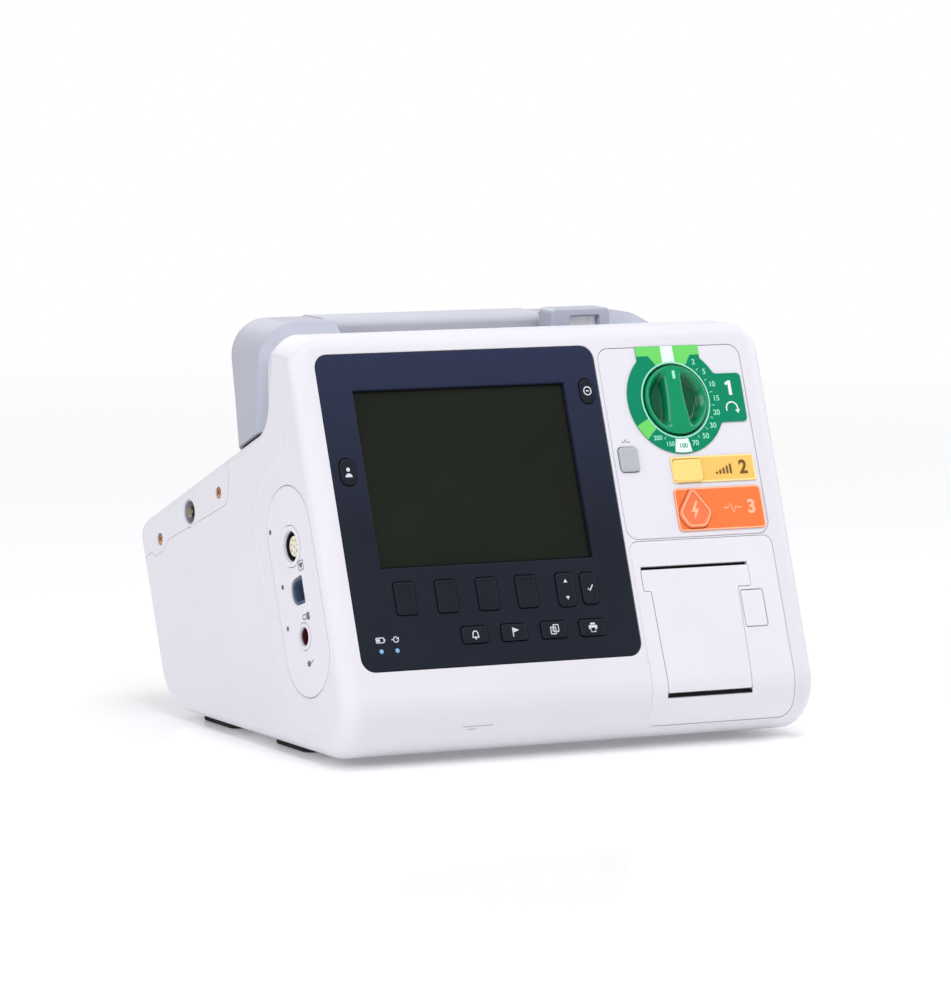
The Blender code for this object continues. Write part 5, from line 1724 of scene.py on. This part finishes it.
def pack(name, node, body):
    """One of the two blocks in the back, with a border groove."""
    low, high = span(node, BACK_OUT)
    made = stack(name, between(low, high, PACK_CORNER),
                 [(low.z, -0.001), (low.z + 0.0014, 0.0)] + rounded_front(0.0010, high.z), BACK_OUT)
    outer = between(low, high, PACK_CORNER, -0.0013)
    inner = prism(f"{name}_groove_core", between(low, high, PACK_CORNER, -0.0020), -0.02, 0.02,
                  BACK_OUT)
    groove = cut(prism(f"{name}_groove", outer, high.z - 0.0006, 0.01, BACK_OUT), inner)
    cut(made, groove)
    return made, low, high


def battery():
    made, low, high = pack("battery_block", "battery_pack", "battery_pack")
    centre_x, centre_y = (low.x + high.x) / 2, (low.y + high.y) / 2
    pocket = rectangle(0.034, 0.016, 0.002, (centre_x, centre_y + 0.0140))
    cut(made, opening("battery_pocket", pocket, -0.0060, 0.0006, BACK_OUT, high.z))
    for index in range(5):
        rib = rectangle(0.060, 0.0012, 0.0005, (centre_x, centre_y - 0.0050 - 0.0032 * index))
        cut(made, opening(f"battery_rib_{index}", rib, high.z - 0.0007, 0.0003, BACK_OUT,
                          high.z, 2))
    show(made, BLACK, "black_plastic", "battery_pack", ["battery_pack"])
    low, high = span("battery_latch", BACK_OUT)
    slider = stack("battery_slider", between(low, high, 0.0016),
                   [(low.z, 0.0)] + rounded_front(0.0006, high.z), BACK_OUT)
    for index in range(4):
        y = (low.y + high.y) / 2 - 0.0030 + 0.0020 * index
        rib = rectangle(0.022, 0.0008, 0.0003, ((low.x + high.x) / 2, y))
        cut(slider, prism(f"slider_rib_{index}", rib, high.z - 0.0005, 0.01, BACK_OUT))
    show(slider, GREY, "grey_plastic", "battery_latch", ["battery_latch"])


def power():
    made, low, high = pack("power_block", "power_module", "power_module")
    centre = ((low.x + high.x) / 2, (low.y + high.y) / 2)
    inlet = rounded([
        (-0.0118 + centre[0], -0.0090 + centre[1], 0.0010),
        (0.0118 + centre[0], -0.0090 + centre[1], 0.0010),
        (0.0118 + centre[0], 0.0040 + centre[1], 0.0),
        (0.0068 + centre[0], 0.0090 + centre[1], 0.0),
        (-0.0068 + centre[0], 0.0090 + centre[1], 0.0),
        (-0.0118 + centre[0], 0.0040 + centre[1], 0.0),
    ], 5)
    cut(made, opening("inlet_well", inlet, -0.0190, 0.0005, BACK_OUT, high.z))
    for side in (-1, 1):
        for index in range(6):
            rib = rectangle(0.0016, 0.028, 0.0007,
                            (centre[0] + side * (0.024 + 0.0036 * index), centre[1]))
            cut(made, opening(f"power_vent_{side}_{index}", rib, high.z - 0.0030, 0.0003,
                              BACK_OUT, high.z, 2))
    show(made, BLACK, "black_plastic", "power_module", ["power_module"])
    for index, (x, y) in enumerate(((-0.007, -0.002), (0.0, 0.002), (0.007, -0.002))):
        blade = rectangle(0.0020, 0.0040, 0.0004, (centre[0] + x, centre[1] + y), 3)
        show(cap(f"inlet_blade_{index}", blade, -0.0188, -0.0050, 0.0005, BACK_OUT), METAL,
             "plated_steel", "power_module")


def screw(name, place, radius, depth, finish, nodes=(), shank=None):
    """A pan head with a cross recess."""
    section = [(-depth, radius), (-depth + 0.0010, radius), (-depth + 0.0015, radius - 0.0003),
               (-depth + 0.0018, radius - 0.0010)]
    if shank is not None:
        length, thin = shank
        section = [(-length, thin), (-depth, thin)] + section
    made = ring_section(name, 40, section, place)
    for turn in (0, 90):
        turned = place @ Matrix.Rotation(math.radians(turn + 25), 4, "Z")
        arm = rectangle(radius * 1.15, radius * 0.26, radius * 0.06)
        cut(made, prism(f"{name}_arm_{turn}", arm, -depth + 0.0006, 0.01, turned))
    show(made, finish, "brass_screw", "case", nodes)


def fasteners():
    for side, place in side_frames():
        for index, where in enumerate(SCREWS):
            node = f"cover_screw_{side}_{index + 1}"
            screw(f"{node}_head", on_side(place, *where), 0.0034, 0.0022, BRASS, [node],
                  (0.0190, 0.0014))
        stud(f"stud_{side}", on_side(place, *STUD))
    for index, (x, v) in enumerate(BACK_SCREWS):
        screw(f"back_screw_{index}", moved(BACK_OUT, x, v), 0.0034, 0.0022, METAL)


def stud(node, place):
    """A headed post with a turned waist, in its round pocket."""
    section = [(-0.0180, 0.0016), (-0.0087, 0.0016), (-0.0087, 0.0062), (-0.0078, 0.0062),
               (-0.0074, 0.0058), (-0.0068, 0.0026), (-0.0062, 0.0024), (-0.0034, 0.0024),
               (-0.0028, 0.0028), (-0.0025, 0.0038), (-0.0020, 0.0042), (-0.0010, 0.0042),
               (-0.0005, 0.0039), (-0.0002, 0.0032), (-0.0003, 0.0016)]
    post = ring_section(f"{node}_post", 48, section, place)
    for index in range(6):
        scallop = prism(f"{node}_scallop_{index}", circle(0.0016, 20, (0.0050, 0.0)), -0.0030, 0.01,
                        place @ Matrix.Rotation(math.radians(60 * index + 20), 4, "Z"))
        cut(post, scallop)
    show(post, STUD_METAL, "plated_steel", "case", [node])
    # a grey sleeve lining the stud pocket: painted shade that darkens the pocket
    shade_liner = [(-0.0086, 0.00775), (-0.0012, 0.00775), (-0.0010, 0.0075), (-0.0012, 0.0072),
             (-0.0080, 0.0068)]
    turned(f"{node}_shade_liner", 48, shade_liner, place, GREY, "plated_steel")


def feet():
    for index in range(1, 5):
        node = f"foot_{index}"
        low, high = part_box(node)
        place = Matrix.Translation(((low.x + high.x) / 2, (low.y + high.y) / 2, 0))
        pad = rectangle(0.018, 0.044, 0.006)
        stations = [(0.0, -0.0012), (0.0002, -0.0006), (0.0008, 0.0), (0.0038, 0.0)]
        made = stack(f"{node}_pad", pad, stations, place)
        for groove in range(4):
            line = rectangle(0.012, 0.0012, 0.0004, (0, -0.012 + 0.008 * groove))
            cut(made, prism(f"{node}_groove_{groove}", line, -0.001, 0.0006, place))
        join(made, prism(f"{node}_button", circle(0.0026, 20), 0.0030, 0.0100, place))
        show(made, RUBBER, "rubber", "case", [node])


# ---------------------------------------------------------------- studio

FOOT_RADIUS = 0.031            # rounding of the case under the front
CHIN_TURN = math.radians(21.8)  # how far below level the chin marks face


def chin_mark():
    """A fine printed line low on the rounded chin, with a short one below it."""
    front = FACE_FOOT + min(point.x for point in BODY_POINTS)
    down, forward = math.sin(CHIN_TURN), math.cos(CHIN_TURN)
    origin = (-0.077, front + FOOT_RADIUS * (1 - forward), BASE_Z + FOOT_RADIUS * (1 - down))
    place = axes((1, 0, 0), (0, -down, forward), (0, -forward, -down), origin)
    long_line = polyline((-0.0105, 0.0), (0.0105, 0.0))
    short_line = polyline((-0.0070, -0.0021), (-0.0010, -0.0021))
    decal("chin_mark", place, CHIN_INK, "white_plastic", "case",
          lines=[(long_line, False), (short_line, False)], width=0.0007, low=-0.0002)


CAMERA_AZIMUTH = math.radians(-29.4931)
CAMERA_ELEVATION = math.radians(7.0021)
CAMERA_ROLL = math.radians(1.0804)
CAMERA_DISTANCE = 3.77888
CAMERA_TARGET = Vector((-0.04681, -0.08122, 0.15516))
CAMERA_LENS = 217.77


def camera():
    data = bpy.data.cameras.new("camera")
    data.lens = CAMERA_LENS
    data.sensor_width = 36.0
    data.clip_end = 100.0
    made = bpy.data.objects.new("camera", data)
    bpy.context.scene.collection.objects.link(made)
    flat = math.cos(CAMERA_ELEVATION)
    back = Vector((
        math.sin(CAMERA_AZIMUTH) * flat,
        -math.cos(CAMERA_AZIMUTH) * flat,
        math.sin(CAMERA_ELEVATION),
    ))
    turn = (-back).to_track_quat("-Z", "Y").to_matrix() @ Matrix.Rotation(CAMERA_ROLL, 3, "Z")
    made.matrix_world = Matrix.Translation(CAMERA_TARGET + back * CAMERA_DISTANCE) @ turn.to_4x4()
    bpy.context.scene.camera = made


DOME_STRENGTH = 0.50
SOFT_BOXES = (
    ("front", (-0.5, -2.0, 2.5), (1.4, 1.0), 22.0),
    ("top", (0.1, -0.7, 2.5), (1.6, 1.0), 22.0),
    ("left", (-2.7, -0.6, 1.3), (1.6, 1.6), 26.0),
    ("right", (2.6, -0.1, 1.5), (1.6, 1.6), 26.0),
    ("back", (0.3, 2.6, 2.0), (1.8, 1.4), 24.0),
)


LIGHT_TARGET = Vector((0.0, -0.05, 0.14))


def area_light(name, position, size, power):
    data = bpy.data.lights.new(name, "AREA")
    data.shape = "RECTANGLE"
    data.size, data.size_y = size
    data.energy = power
    made = bpy.data.objects.new(name, data)
    bpy.context.scene.collection.objects.link(made)
    made.location = position
    direction = LIGHT_TARGET - Vector(position)
    made.rotation_mode = "QUATERNION"
    made.rotation_quaternion = direction.to_track_quat("-Z", "Y")


FLOOR_RADIUS = 2.4
FLOOR_FADE = 0.7               # where the floor begins to fade


def floor():
    """A pale floor with a faint sheen, whose edge fades into the white backdrop."""
    shape = bmesh.new()
    shape.faces.new([shape.verts.new((*point, 0)) for point in circle(FLOOR_RADIUS, 96)])
    made = link("floor", shape)
    nodes = Nodes("floor")
    tone = nodes.spread(nodes.noise(1.5, 2.0), 0.0, 1.0)
    nodes.wire(nodes.mix(tone, (0.93, 0.93, 0.94, 1.0), (0.95, 0.95, 0.96, 1.0)), nodes.shader,
               "Base Color")
    distance = nodes.add("ShaderNodeVectorMath", operation="LENGTH")
    nodes.wire(nodes.place, distance, "Vector")
    fade = nodes.spread(distance.outputs["Value"], 1.0, 0.0, FLOOR_FADE, FLOOR_RADIUS)
    nodes.wire(fade, nodes.shader, "Alpha")
    nodes.set(Roughness=0.08, Specular_IOR_Level=0.20, Emission_Color=(1, 1, 1, 1),
              Emission_Strength=0.12)
    made.data.materials.append(nodes.material)


def studio():
    """White backdrop, an even dome at half strength, and five large soft boxes."""
    world = bpy.data.worlds.new("studio")
    world.use_nodes = True
    tree = world.node_tree
    backdrop = tree.nodes["Background"]
    backdrop.inputs["Color"].default_value = (1.0, 1.0, 1.0, 1.0)
    backdrop.inputs["Strength"].default_value = 1.0
    dome = tree.nodes.new("ShaderNodeBackground")
    dome.inputs["Color"].default_value = (0.97, 0.98, 1.0, 1.0)
    dome.inputs["Strength"].default_value = DOME_STRENGTH
    rays = tree.nodes.new("ShaderNodeLightPath")
    choice = tree.nodes.new("ShaderNodeMixShader")
    tree.links.new(rays.outputs["Is Camera Ray"], choice.inputs[0])
    tree.links.new(dome.outputs[0], choice.inputs[1])
    tree.links.new(backdrop.outputs[0], choice.inputs[2])
    tree.links.new(choice.outputs[0], tree.nodes["World Output"].inputs["Surface"])
    bpy.context.scene.world = world
    bpy.context.scene.view_settings.view_transform = "Standard"
    for name, position, size, power in SOFT_BOXES:
        area_light(name, position, size, power)
    floor()


def main():
    camera()
    studio()
    finish_frame_nodes()

    front_shell()
    rear_shell()
    side_swell()
    chin_mark()
    top_shell()
    hood()
    grip()
    indicator_window()

    port_panel()
    ecg_port()
    spo2_port()
    nibp_port()
    port_icons()
    therapy_port()

    bezel()
    status_lenses()
    keys()
    key_icons()
    screen()

    therapy_face()
    dial_print()
    knob()
    action_labels()
    control_caps()

    printer()
    printer_door()
    latch()

    battery()
    power()
    fasteners()
    feet()


main()
